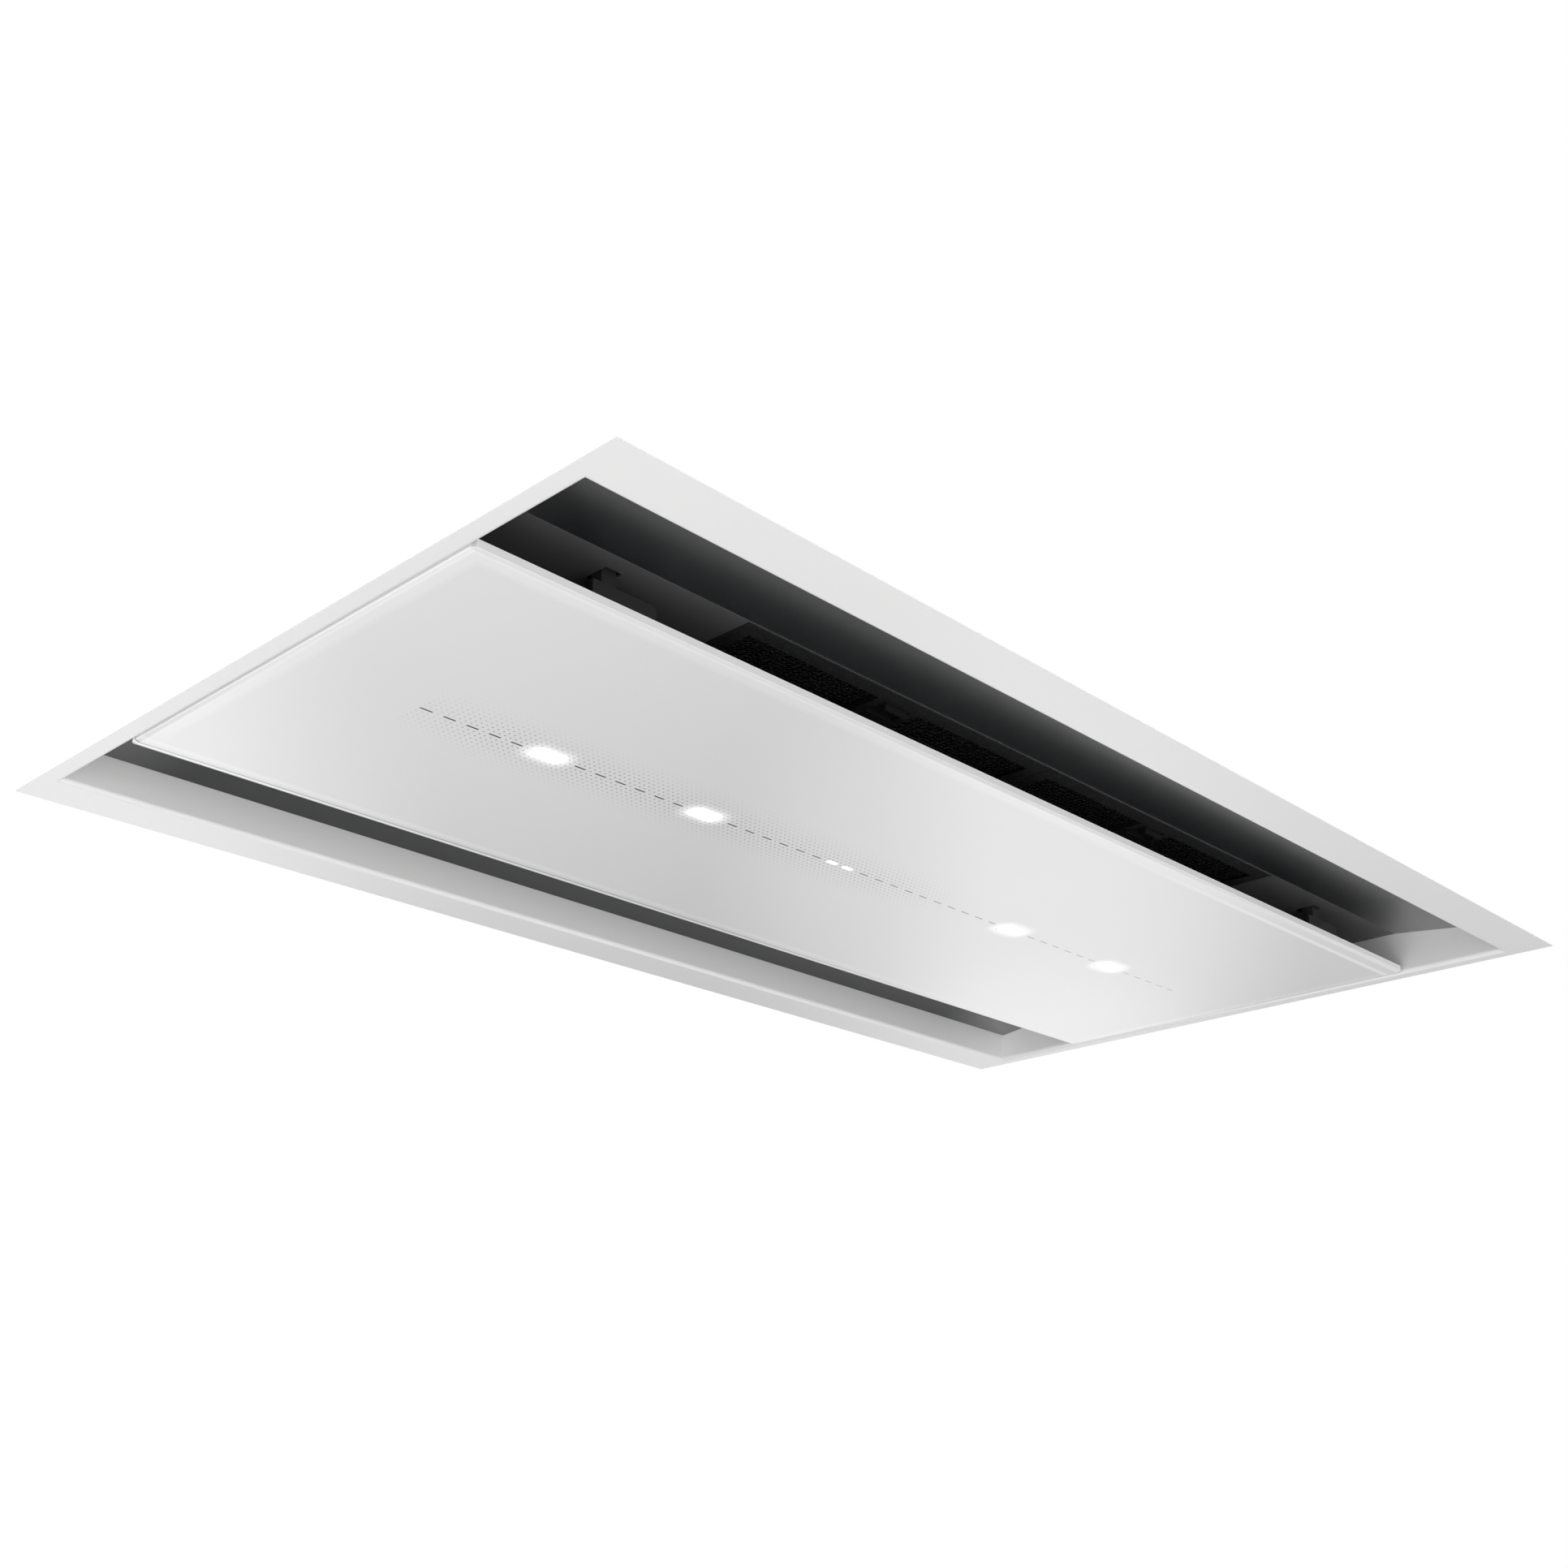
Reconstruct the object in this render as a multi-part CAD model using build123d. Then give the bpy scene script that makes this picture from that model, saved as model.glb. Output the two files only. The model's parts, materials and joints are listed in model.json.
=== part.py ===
from build123d import *
from math import cos, radians, sin
import os

# A flush ceiling hood for a kitchen, in millimetres, seen the way it hangs:
# X along the long side, Y across it, Z up. Z = 0 is the visible underside of the frame.
# "front" is the side where the glass panel opens, "rear" the side where it is hinged.

# overall
hood_length = 900.0
hood_width = 500.0
hood_height = 299.0
box_height = 193.0          # of the blower box with its lid; the casing takes the rest

# white frame, folded from sheet
frame_sheet = 1.2
frame_bend = 3.0            # outer radius of the fold between flange and skirt
long_flange = 31.7          # flange of the long rails, out to the line of the skirt
short_flange = 12.05
skirt_lean = 2.4            # the short skirts lean outwards by this up to the intake sheet
skirt_height = 58.0

# dark intake sheet in the recess
intake_sheet = 1.0
intake_flat_height = 32.0   # underside of the flat middle
intake_drop = 9.8           # fall of the sloping strips to where they meet the long skirts
intake_slope_width = 76.3   # width of a sloping strip
intake_bend = 1.6
intake_rim = 10.0           # height of its upturned edge, on which the casing stands

# glass panel
glass_end_gap = 0.65        # to the foot of the short skirts
suction_gap = 72.8          # to the long skirts
glass_thickness = 5.0
glass_corner = 3.0
glass_bevel_width = 2.6
glass_bevel_depth = 0.9

# lamps and signal lights in the glass
lamp_length = 24.0
lamp_width = 15.0
lamp_corner = 6.0
lamp_places = (-270.0, -150.0, 150.0, 270.0)
lamp_rim = 2.0              # collar that rests on the back of the glass
lamp_rim_height = 1.5
signal_length = 9.4
signal_width = 3.0
signal_places = (-37.5, -22.5)
light_gap = 0.3             # between a light and its hole in the glass
module_length = 46.0
module_width = 36.0

# tray behind the glass
tray_sheet = 1.0
tray_end_gap = 47.3         # from the ends of the glass
tray_side_gap = 33.5        # from its long edges
tray_depth = 10.0
tray_taper = 30.0           # degrees that its walls lean
tray_corner = 12.0
tray_lip = 14.0             # lip that is bonded to the glass

# latch brackets, their slots and catches
latch_end_gap = 94.3        # from the ends of the glass to the posts
latch_side_gap = 16.5       # from its front edge to the faces of the arms
latch_sheet = 2.5
latch_shoulder_gap = 7.3    # from the top of an arm to the intake sheet
latch_left = 11.3           # ends of an arm, from the post's middle
latch_right = 30.0
latch_left_corner = 1.0
latch_right_corner = 4.0
latch_foot_gap = 2.0        # between the bracket's foot and the wall of the tray
post_width = 9.2
post_depth = 7.5
post_setbacks = (1.5, 0.0)  # of the left and right post behind the face of its arm
post_reach = 14.0           # above the intake sheet
post_corner = 0.8
slot_gap = 0.7              # beside a post, in slot and catch
slot_front_gap = 2.1        # in front of an arm's face: the post swings through it
slot_length = 15.4
catch_wall = 5.0
catch_corner = 3.0
catch_headroom = 3.0        # above a post

# panel hinges
hinge_end_gap = 107.3       # from the ends of the glass
hinge_side_gap = 9.5        # from its rear edge to the hinge line
hinge_height = 16.0
hinge_pin_radius = 2.0
hinge_pin_gap = 0.05
knuckle_radius = 4.0
knuckle_length = 30.0
knuckle_gap = 0.5
ear_thickness = 3.0
ear_plate = 18.0            # depth of the bracket's plate, in front of its rear edge
ear_plate_edge = 1.0        # from that edge to the crease of the intake sheet
hinge_sheet = 1.5
hinge_bend = 2.5
leaf_gap = 1.0              # between the leaf's foot and the wall of the tray

# grease filters
filter_length = 260.0       # along X; the two touch in the middle
filter_side = 1.0           # flat of the intake sheet left in front of and behind them
filter_height = 10.0
filter_border = 10.3
filter_edge = 0.8           # rounding of their visible outer edges
filter_sheet = 1.0
filter_gap = 0.5            # between the filters and the edge of their opening
handle_width = 34.0
handle_length = 50.0
grip_hole_length = 22.0
grip_hole_width = 15.0
slider_sheet = 1.6
latch_slide = 4.0           # travel that frees a filter
slider_side = 2.0           # the slider is wider than its finger lip by this
slider_tail = 8.0           # and ends this far before its travel would allow
tongue_width = 12.0
tongue_reach = 4.0          # over the edge of the opening
slider_gap = 0.2
grip_width = 18.2
grip_drop = 3.5             # how far the finger lip stands below the filter
rear_tab_width = 20.0
rear_tab_places = (-70.0, 70.0)

# casing above the intake sheet
casing_sheet = 1.0
casing_flange = 15.0
casing_screw_shares = (-0.85, -0.4, 0.4, 0.85)
casing_end_screw_shares = (-0.5, 0.5)
bead_width = 14.0           # stiffening beads pressed into the top and the lid
bead_depth = 2.0
bead_taper = 40.0
casing_bead_length = 120.0
casing_bead_columns = (225.0, 300.0, 375.0)
casing_bead_rows = (-70.0, 70.0)

# blower box on the casing
box_size = 340.0
box_corner = 15.0
box_flange = 12.0
box_lid_rim = 12.0
box_sheet = 1.0
box_screw_share = 0.3
lid_bead_length = 200.0
lid_bead_places = (-120.0, -90.0, 90.0, 120.0)

# scroll, drawn on a small square: three quarter turns whose radii grow by one step
scroll_step = 14.0
scroll_nose = 6.0           # radius of the tongue
scroll_rear_gap = 8.0       # from its base to the rear wall of the box
scroll_left_gap = 14.0      # and to the left wall
scroll_stand = 24.0         # height of its base above the casing
scroll_sheet = 1.0
scroll_mouth_gap = 60.0     # from its mouth to the wall of the box
scroll_edge = 5.0           # base and cover stand this far outside the wrap

# impeller
impeller_radius = 72.0
impeller_scroll_gap = 16.0  # between its rim and the first quarter turn
blade_depth = 16.0          # from the rim to the inner edge of the blades
impeller_floor_gap = 10.0   # above the scroll's base
impeller_roof_gap = 21.0    # below its cover
blade_count = 36
blade_sheet = 1.0
blade_lean = 9.0            # degrees that a blade's outer edge runs ahead
blade_curve = 17.5          # radius of its arc
impeller_plate = 1.5
dish_rim_width = 28.0       # flat rim of the top plate, round its dish
dish_gap = 8.0              # between the dish and the motor
hub_radius = 12.0
hub_length = 17.0
hub_gap = 2.0               # between the hub and the motor
nut_radius = 6.8
nut_height = 6.4

# motor
motor_side_gap = 6.0        # inside the dish
motor_headroom = 12.0       # under the lid
motor_stand = 25.0          # height above the scroll's cover
motor_drop = 47.0           # depth below it
motor_edge = 3.0
motor_flange_width = 16.0
motor_flange = 3.0
motor_rib_count = 12
motor_rib_width = 3.0
motor_rib_height = 2.0
shaft_radius = 4.0
shaft_gap = 0.05
shaft_reach = 36.0          # into the motor
shaft_end = 11.0            # below the hub

# outlet
outlet_radius = 75.0        # the duct slides over this
outlet_sheet = 1.0
outlet_flange_gap = 4.0     # from its flange to the box's own flange and lid rim
outlet_flange_sheet = 1.5
outlet_inside = 12.0        # length inside the box
outlet_outside = 76.0
collar_gap = 0.2            # between the adaptor's collar and the spigot
collar_length = 6.0
flap_place = 4.0            # from the wall of the box to the flap pin
flap_sheet = 1.2
flap_gap = 1.5              # from the flap's rim to the spigot
flap_knuckle_radius = 4.0
flap_knuckle_length = 58.0
flap_knuckle_gap = 1.0      # from the middle of the spigot
flap_pin_radius = 2.0
flap_pin_gap = 0.05
flap_pin_seat = 0.6         # depth of its seats in the wall of the spigot
flap_edge = 4.8             # straight edge of a flap, from the pin

# inlet ring
inlet_eye_gap = 4.0         # between its neck and the eye of the impeller
inlet_neck_wall = 2.0
inlet_neck_rise = 8.0       # of the neck above the scroll's base
inlet_flange = 20.0         # width of its flat flange
inlet_overlap = 12.0        # of the flange on the edge of the air hole
inlet_sheet = 1.5

# control box
control_length = 170.0
control_width = 120.0
control_height = 44.0
control_end_gap = 40.35     # from the end of the casing
control_sheet = 1.2
control_rim = 8.0
board_length = 96.0
board_width = 96.0
board_thickness = 1.6
board_side_gap = 6.0
board_post = 5.0
board_post_radius = 3.0
board_post_share = 0.45
board_parts = ((-25.0, -23.0, 30.0, 30.0, 24.4), (2.0, 26.0, 64.0, 8.0, 22.4))
relay_size = (20.0, 16.0, 15.0)
relay_x = 26.0
relay_places = (-34.0, -12.0, 10.0)
capacitor_radius = 16.0
capacitor_length = 62.0
capacitor_gap = 8.0
gland_thread_radius = 7.6
gland_nut_radius = 11.0
gland_nut_height = 9.0
gland_inner_nut_height = 4.0
gland_dome_radius = 9.0
gland_dome_height = 13.0
gland_dome_taper = 8.0
gland_thread_length = 8.0
gland_bore_radius = 4.0
gland_drop = 2.0            # below the middle of the box

# suspension brackets
hanger_end_gap = 60.35      # from the end of the casing
hanger_sheet = 2.0
hanger_bend = 3.0
hanger_width = 40.0
hanger_skirt_gap = 4.0      # above the frame's skirt
hanger_rise = 15.0          # above the casing's walls
hanger_reach = 22.0
rod_hole_radius = 4.5
rod_hole_reach = 13.0       # hole line, out from the casing wall

# fasteners
screw_radius = 1.9
screw_head_radius = 3.6
screw_head_height = 2.2
screw_length = 8.0

past = 5.0                  # how far a cutting body runs past the faces that it cuts

half_length = hood_length / 2
half_width = hood_width / 2
long_skirt = half_width - long_flange
short_foot = half_length - short_flange
short_skirt = short_foot + skirt_lean
intake_top = intake_flat_height + intake_sheet
intake_edge_height = intake_flat_height - intake_drop
intake_rim_height = intake_flat_height + intake_rim
intake_crease = long_skirt - intake_slope_width
glass_length = 2 * (short_foot - glass_end_gap)
glass_width = 2 * (long_skirt - suction_gap)
tray_length = glass_length - 2 * tray_end_gap
tray_width = glass_width - 2 * tray_side_gap
panel_foot = glass_thickness + tray_sheet
latch_places = (latch_end_gap - glass_length / 2, glass_length / 2 - latch_end_gap)
latch_face = latch_side_gap - glass_width / 2
latch_shoulder = intake_flat_height - latch_shoulder_gap
post_top = intake_top + post_reach
hinge_places = (hinge_end_gap - glass_length / 2, glass_length / 2 - hinge_end_gap)
hinge_line = glass_width / 2 - hinge_side_gap
filter_width = 2 * (intake_crease - filter_side)
opening_half_length = filter_length + filter_gap
opening_half_width = filter_width / 2 + filter_gap
casing_height = hood_height - box_height - casing_sheet
casing_top = casing_height + casing_sheet
hanger_bottom = skirt_height + hanger_skirt_gap
hanger_top = casing_height + hanger_rise
lid_low = hood_height - box_sheet
lid_rim_low = hood_height - box_lid_rim
box_wall = box_size / 2
scroll_base = casing_top + scroll_stand
motor_top = lid_low - motor_headroom
scroll_top = motor_top - motor_stand
scroll_first_radius = impeller_radius + impeller_scroll_gap
scroll_room = box_wall - box_sheet - scroll_edge - scroll_sheet - scroll_first_radius - scroll_step / 2
scroll_x = scroll_step + scroll_left_gap - scroll_room
scroll_y = scroll_room - scroll_rear_gap
scroll_mouth = box_wall - scroll_mouth_gap
scroll_mouth_low = scroll_y - scroll_first_radius - 2.5 * scroll_step
scroll_mouth_high = scroll_y + scroll_step / 2 - scroll_nose
impeller_eye = impeller_radius - blade_depth
impeller_base = scroll_base + impeller_floor_gap
impeller_top = scroll_top - impeller_roof_gap
dish_radius = impeller_radius - dish_rim_width
motor_radius = dish_radius - motor_side_gap
motor_bottom = scroll_top - motor_drop
hub_low = motor_bottom - hub_gap - hub_length
shaft_low = hub_low - shaft_end
shaft_high = motor_bottom + shaft_reach
inlet_neck_radius = impeller_eye - inlet_eye_gap
inlet_neck_top = scroll_base + inlet_neck_rise
inlet_collar_radius = inlet_neck_radius + 1.5 * inlet_neck_wall
bell_radius = inlet_neck_top - casing_top
inlet_flange_radius = inlet_neck_radius + bell_radius + inlet_flange
air_hole_radius = inlet_flange_radius - inlet_overlap
outlet_height = (lid_rim_low + casing_top + box_sheet) / 2
outlet_flange_radius = lid_rim_low - outlet_flange_gap - outlet_height
outlet_start = box_wall - outlet_inside
outlet_end = box_wall + outlet_outside
flap_axis_x = box_wall + flap_place
control_x = control_end_gap + control_length / 2 - short_skirt
gland_height = casing_top + control_height / 2 - gland_drop

os.makedirs("parts", exist_ok=True)


def write(name, *solids):
    """Save the solids of one named piece."""
    shape = solids[0] if len(solids) == 1 else Compound(children=list(solids))
    shape.label = name
    export_step(shape, f"parts/{name}.step")


def folded(points, bend, thickness, side):
    """Section of a sheet folded along the points, which lie on its visible face."""
    line = FilletPolyline(*points, radius=bend)
    return make_face(offset(line, amount=thickness, side=side))


def along_x(section, length):
    """A section drawn in Y and Z, drawn out along X about the middle."""
    return extrude(Plane.YZ * section, length / 2, both=True)


def along_y(section, length):
    """A section drawn in X and Z, drawn out along Y about the middle."""
    return extrude(Plane.XZ * section, length / 2, both=True)


def block(x0, x1, y0, y1, z0, z1):
    """A box between two corners."""
    return Pos((x0 + x1) / 2, (y0 + y1) / 2, (z0 + z1) / 2) * Box(x1 - x0, y1 - y0, z1 - z0)


def rod(radius, height, x=0.0, y=0.0, z=0.0):
    """An upright cylinder that starts at z."""
    return Pos(x, y, z) * extrude(Circle(radius), height)


def turned(points):
    """A solid turned about Z from a closed outline of radius and height."""
    return revolve(Plane.XZ * make_face(Polyline(*points, close=True)), Axis.Z)


# frame ---------------------------------------------------------------------------------


def short_line():
    """Visible line of a short rail: flange, leaning skirt, straight top."""
    return [(half_length, 0), (short_foot, 0), (short_skirt, intake_flat_height),
            (short_skirt, skirt_height)]


def beyond_short_skirts(reach):
    """Everything outside the visible faces of the short skirts, for |y| up to reach."""
    far = half_length + past
    top = casing_top
    line = FilletPolyline(*short_line(), radius=frame_bend)
    closing = Polyline((short_skirt, skirt_height), (short_skirt, top), (far, top), (far, -past),
                       (half_length, -past), (half_length, 0))
    outside = along_y(make_face(line + closing), 2 * reach)
    return outside + mirror(outside, Plane.YZ)


def frame_rails():
    flange_line = [(half_width, 0), (long_skirt, 0), (long_skirt, skirt_height)]
    long_rail = along_x(folded(flange_line, frame_bend, frame_sheet, Side.RIGHT), hood_length)
    long_rail -= beyond_short_skirts(long_skirt + frame_bend)
    write("rear_rail", long_rail)
    write("front_rail", mirror(long_rail, Plane.XZ))

    short_section = folded(short_line(), frame_bend, frame_sheet, Side.RIGHT)
    short_rail = along_y(short_section, 2 * (long_skirt + frame_bend))
    write("right_rail", short_rail)
    write("left_rail", mirror(short_rail, Plane.YZ))


# intake sheet and what holds the panel to it -----------------------------------------------


def slot_box(x, low, high):
    """Space that a latch post needs, with its gap, between two heights."""
    front = latch_face - slot_front_gap
    half = post_width / 2 + slot_gap
    return block(x - half, x + half, front, front + slot_length, low, high)


def intake():
    line = [(-long_skirt, intake_rim_height), (-long_skirt, intake_edge_height),
            (-intake_crease, intake_flat_height), (intake_crease, intake_flat_height),
            (long_skirt, intake_edge_height), (long_skirt, intake_rim_height)]
    sheet = along_x(folded(line, intake_bend, intake_sheet, Side.LEFT), hood_length)
    sheet -= beyond_short_skirts(half_width)
    for side in (-1, 1):
        end = (short_skirt - intake_sheet / 2) * side
        rim = Box(intake_sheet, 2 * intake_crease, intake_rim_height - intake_top)
        sheet += Pos(end, 0, (intake_rim_height + intake_top) / 2) * rim
    sheet -= block(-opening_half_length, opening_half_length, -opening_half_width,
                   opening_half_width, intake_flat_height - past, intake_top + past)
    for x in latch_places:
        sheet -= slot_box(x, intake_flat_height - past, intake_top + past)
    write("intake_sheet", sheet)


def catches():
    for name, x in zip(("left", "right"), latch_places):
        inside = slot_box(x, intake_top, post_top + catch_headroom)
        size = inside.bounding_box().size
        outer = Box(size.X + 2 * catch_wall, size.Y + 2 * catch_wall, size.Z)
        housing = Pos(inside.center()) * fillet(outer.edges().filter_by(Axis.Z), catch_corner)
        write(f"panel_catch_{name}", housing - inside)


# glass panel -----------------------------------------------------------------------------------


def lamp_outline(grow):
    return RectangleRounded(lamp_length + 2 * grow, lamp_width + 2 * grow, lamp_corner + grow)


def signal_outline(grow):
    return SlotOverall(signal_length + 2 * grow, signal_width + 2 * grow)


def glass():
    sheet = extrude(RectangleRounded(glass_length, glass_width, glass_corner), glass_thickness)
    visible_face = sheet.faces().sort_by(Axis.Z)[0]
    sheet = chamfer(visible_face.edges(), glass_bevel_width, glass_bevel_depth,
                    reference=visible_face)
    for x in lamp_places:
        sheet -= Pos(x, 0, 0) * extrude(lamp_outline(light_gap), glass_thickness)
    for x in signal_places:
        sheet -= Pos(x, 0, 0) * extrude(signal_outline(light_gap), glass_thickness)
    write("glass_panel", sheet)


def tray_pan(shrink):
    """Solid inside the tray's walls, smaller all round by shrink."""
    outline = RectangleRounded(tray_length - 2 * shrink, tray_width - 2 * shrink, tray_corner)
    return Pos(0, 0, glass_thickness) * extrude(outline, tray_depth - shrink, taper=tray_taper)


def tray():
    lip = RectangleRounded(tray_length + 2 * tray_lip, tray_width + 2 * tray_lip, tray_corner)
    pan = Pos(0, 0, glass_thickness) * extrude(lip, tray_sheet) + tray_pan(0)
    write("panel_tray", pan - tray_pan(tray_sheet))


def lights():
    module_height = tray_depth - tray_sheet - lamp_rim_height
    module_base = glass_thickness + lamp_rim_height
    modules = []
    for number, x in enumerate(lamp_places, start=1):
        lens = extrude(lamp_outline(0), glass_thickness)
        lens += Pos(0, 0, glass_thickness) * extrude(lamp_outline(lamp_rim), lamp_rim_height)
        write(f"lamp_lens_{number}", Pos(x, 0, 0) * lens)
        body = Pos(x, 0, module_base) * extrude(
            RectangleRounded(module_length, module_width, lamp_rim), module_height)
        modules.append(body)
    write("led_modules", *modules)
    pipes = []
    for x in signal_places:
        pipe = extrude(signal_outline(0), glass_thickness)
        pipe += Pos(0, 0, glass_thickness) * extrude(signal_outline(lamp_rim), lamp_rim_height)
        pipes.append(Pos(x, 0, 0) * pipe)
    write("signal_lights", *pipes)


def latch_brackets():
    outline = [(-latch_left, glass_thickness), (-latch_left, latch_shoulder),
               (latch_right, latch_shoulder), (latch_right, glass_thickness)]
    radii = (0, latch_left_corner, latch_right_corner, 0)
    arm = along_y(make_face(FilletPolyline(*outline, radius=radii, close=True)), latch_sheet)
    arm = Pos(0, latch_sheet / 2, 0) * arm
    foot = -glass_width / 2 + tray_side_gap - latch_foot_gap - latch_face
    arm += block(-latch_left, latch_right, 0, foot, panel_foot, panel_foot + latch_sheet / 2)
    for name, x, setback in zip(("left", "right"), latch_places, post_setbacks):
        post = block(-post_width / 2, post_width / 2, setback, setback + post_depth, panel_foot,
                     post_top)
        post = fillet(post.faces().sort_by(Axis.Z)[-1].edges(), post_corner)
        write(f"latch_bracket_{name}", Pos(x, latch_face, 0) * (arm + post))


def hinge_pin_rod(radius, length):
    """A round rod along the hinge line, about the middle of a hinge."""
    place = Pos(0, hinge_line, hinge_height)
    return place * extrude(Plane.YZ * Circle(radius), length / 2, both=True)


def hinges():
    leaf_line = [(tray_width / 2 + leaf_gap, panel_foot), (hinge_line + knuckle_radius, panel_foot),
                 (hinge_line + knuckle_radius, hinge_height)]
    leaf = along_x(folded(leaf_line, hinge_bend, hinge_sheet, Side.LEFT), knuckle_length)
    leaf += hinge_pin_rod(knuckle_radius, knuckle_length)
    leaf -= hinge_pin_rod(hinge_pin_radius + hinge_pin_gap, knuckle_length)

    plate_low = intake_flat_height - hinge_sheet
    plate_back = intake_crease - ear_plate_edge
    ear_place = knuckle_length / 2 + knuckle_gap + ear_thickness / 2
    ear_span = knuckle_length + 2 * knuckle_gap + 2 * ear_thickness
    ear = block(-ear_thickness / 2, ear_thickness / 2, hinge_line - knuckle_radius,
                hinge_line + knuckle_radius, hinge_height, plate_low)
    ear += hinge_pin_rod(knuckle_radius, ear_thickness)
    ear -= hinge_pin_rod(hinge_pin_radius, ear_thickness)
    bracket = block(-ear_span / 2, ear_span / 2, plate_back - ear_plate, plate_back, plate_low,
                    intake_flat_height)
    bracket += Pos(ear_place, 0, 0) * ear + Pos(-ear_place, 0, 0) * ear

    pins = []
    for name, x in zip(("left", "right"), hinge_places):
        write(f"hinge_leaf_{name}", Pos(x, 0, 0) * leaf)
        write(f"hinge_bracket_{name}", Pos(x, 0, 0) * bracket)
        pins.append(Pos(x, 0, 0) * hinge_pin_rod(hinge_pin_radius, ear_span))
    write("hinge_pins", *pins)


# grease filters ------------------------------------------------------------------------------


def filter_block(inset, low, high):
    """A block of a filter's outline, smaller all round by inset."""
    return block(-filter_length / 2 + inset, filter_length / 2 - inset, -filter_width / 2 + inset,
                 filter_width / 2 - inset, intake_flat_height + low, intake_flat_height + high)


def filters():
    front = -filter_width / 2
    floor = intake_flat_height + filter_sheet
    roof = intake_flat_height + filter_height - filter_sheet
    housing = block(-handle_width / 2, handle_width / 2, front + filter_sheet,
                    front + handle_length, intake_flat_height, intake_flat_height + filter_height)
    housing_inside = block(-handle_width / 2 + filter_sheet, handle_width / 2 - filter_sheet,
                           front + filter_sheet, front + handle_length - filter_sheet, floor, roof)

    frame = filter_block(0, 0, filter_height)
    frame = fillet(frame.faces().sort_by(Axis.Z)[0].edges(), filter_edge)
    frame -= filter_block(filter_sheet, filter_sheet, filter_height - filter_sheet)
    frame -= filter_block(filter_border, -past, filter_height + past)
    frame = frame + housing - housing_inside
    grip_front = front + filter_border + slider_gap + slider_sheet
    frame -= block(-grip_hole_length / 2, grip_hole_length / 2, grip_front - slider_sheet,
                   grip_front - slider_sheet + grip_hole_width, intake_flat_height - past, floor)
    slot_half = tongue_width / 2 + slider_gap
    frame -= block(-slot_half, slot_half, front - past, front + filter_sheet, floor,
                   floor + slider_sheet + 2 * slider_gap)
    for x in rear_tab_places:
        frame += block(x - rear_tab_width / 2, x + rear_tab_width / 2, filter_width / 2 - filter_sheet,
                       opening_half_width + tongue_reach, intake_top, intake_top + filter_sheet)

    mesh = filter_block(filter_sheet, filter_sheet, filter_height - filter_sheet) - housing

    slider_low = floor + slider_gap
    slider_high = slider_low + slider_sheet
    slider_front = front + filter_sheet + 2 * slider_gap
    slider_back = front + handle_length - filter_sheet - latch_slide - slider_gap
    slider = block(-grip_width / 2 - slider_side, grip_width / 2 + slider_side, slider_front,
                   slider_back - slider_tail, slider_low, slider_high)
    slider += block(-tongue_width / 2, tongue_width / 2, -opening_half_width - tongue_reach,
                    slider_front, slider_low, slider_high)
    slider += block(-grip_width / 2, grip_width / 2, grip_front, grip_front + slider_sheet,
                    intake_flat_height - grip_drop, slider_high)

    for name, side in (("left", -1), ("right", 1)):
        place = Pos(side * filter_length / 2, 0, 0)
        write(f"filter_frame_{name}", place * frame)
        write(f"filter_mesh_{name}", place * mesh)
        write(f"filter_latch_{name}", place * slider)


# casing ----------------------------------------------------------------------------------------


def top_screw_places():
    """Screws along the flanges of the casing, as X and Y."""
    along = short_skirt - casing_flange / 2
    across = long_skirt - casing_flange / 2
    places = [(x * along, y * across) for x in casing_screw_shares for y in (-1, 1)]
    return places + [(x * along, y * across) for x in (-1, 1) for y in casing_end_screw_shares]


def screw_holes(places, low, high):
    """Holes for the screws, from low to high."""
    return Compound(children=[rod(screw_radius, high - low, x, y, low) for x, y in places])


def pan_screw():
    """A screw that stands on z = 0 with its shank downwards."""
    head = turned([(0, 0), (screw_head_radius, 0), (screw_head_radius, screw_head_height / 2),
                   (screw_head_radius / 2, screw_head_height), (0, screw_head_height)])
    return head + rod(screw_radius, screw_length, 0, 0, -screw_length)


def pressed_bead(sheet, place, length, thickness):
    """A flat sheet with a bead pressed down into its top, along Y, at a place on that top."""
    outer = SlotOverall(length, bead_width, rotation=90)
    inner = SlotOverall(length - 2 * thickness, bead_width - 2 * thickness, rotation=90)
    sheet += place * extrude(outer, -bead_depth - thickness, taper=bead_taper)
    return sheet - place * extrude(inner, -bead_depth, taper=bead_taper)


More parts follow.
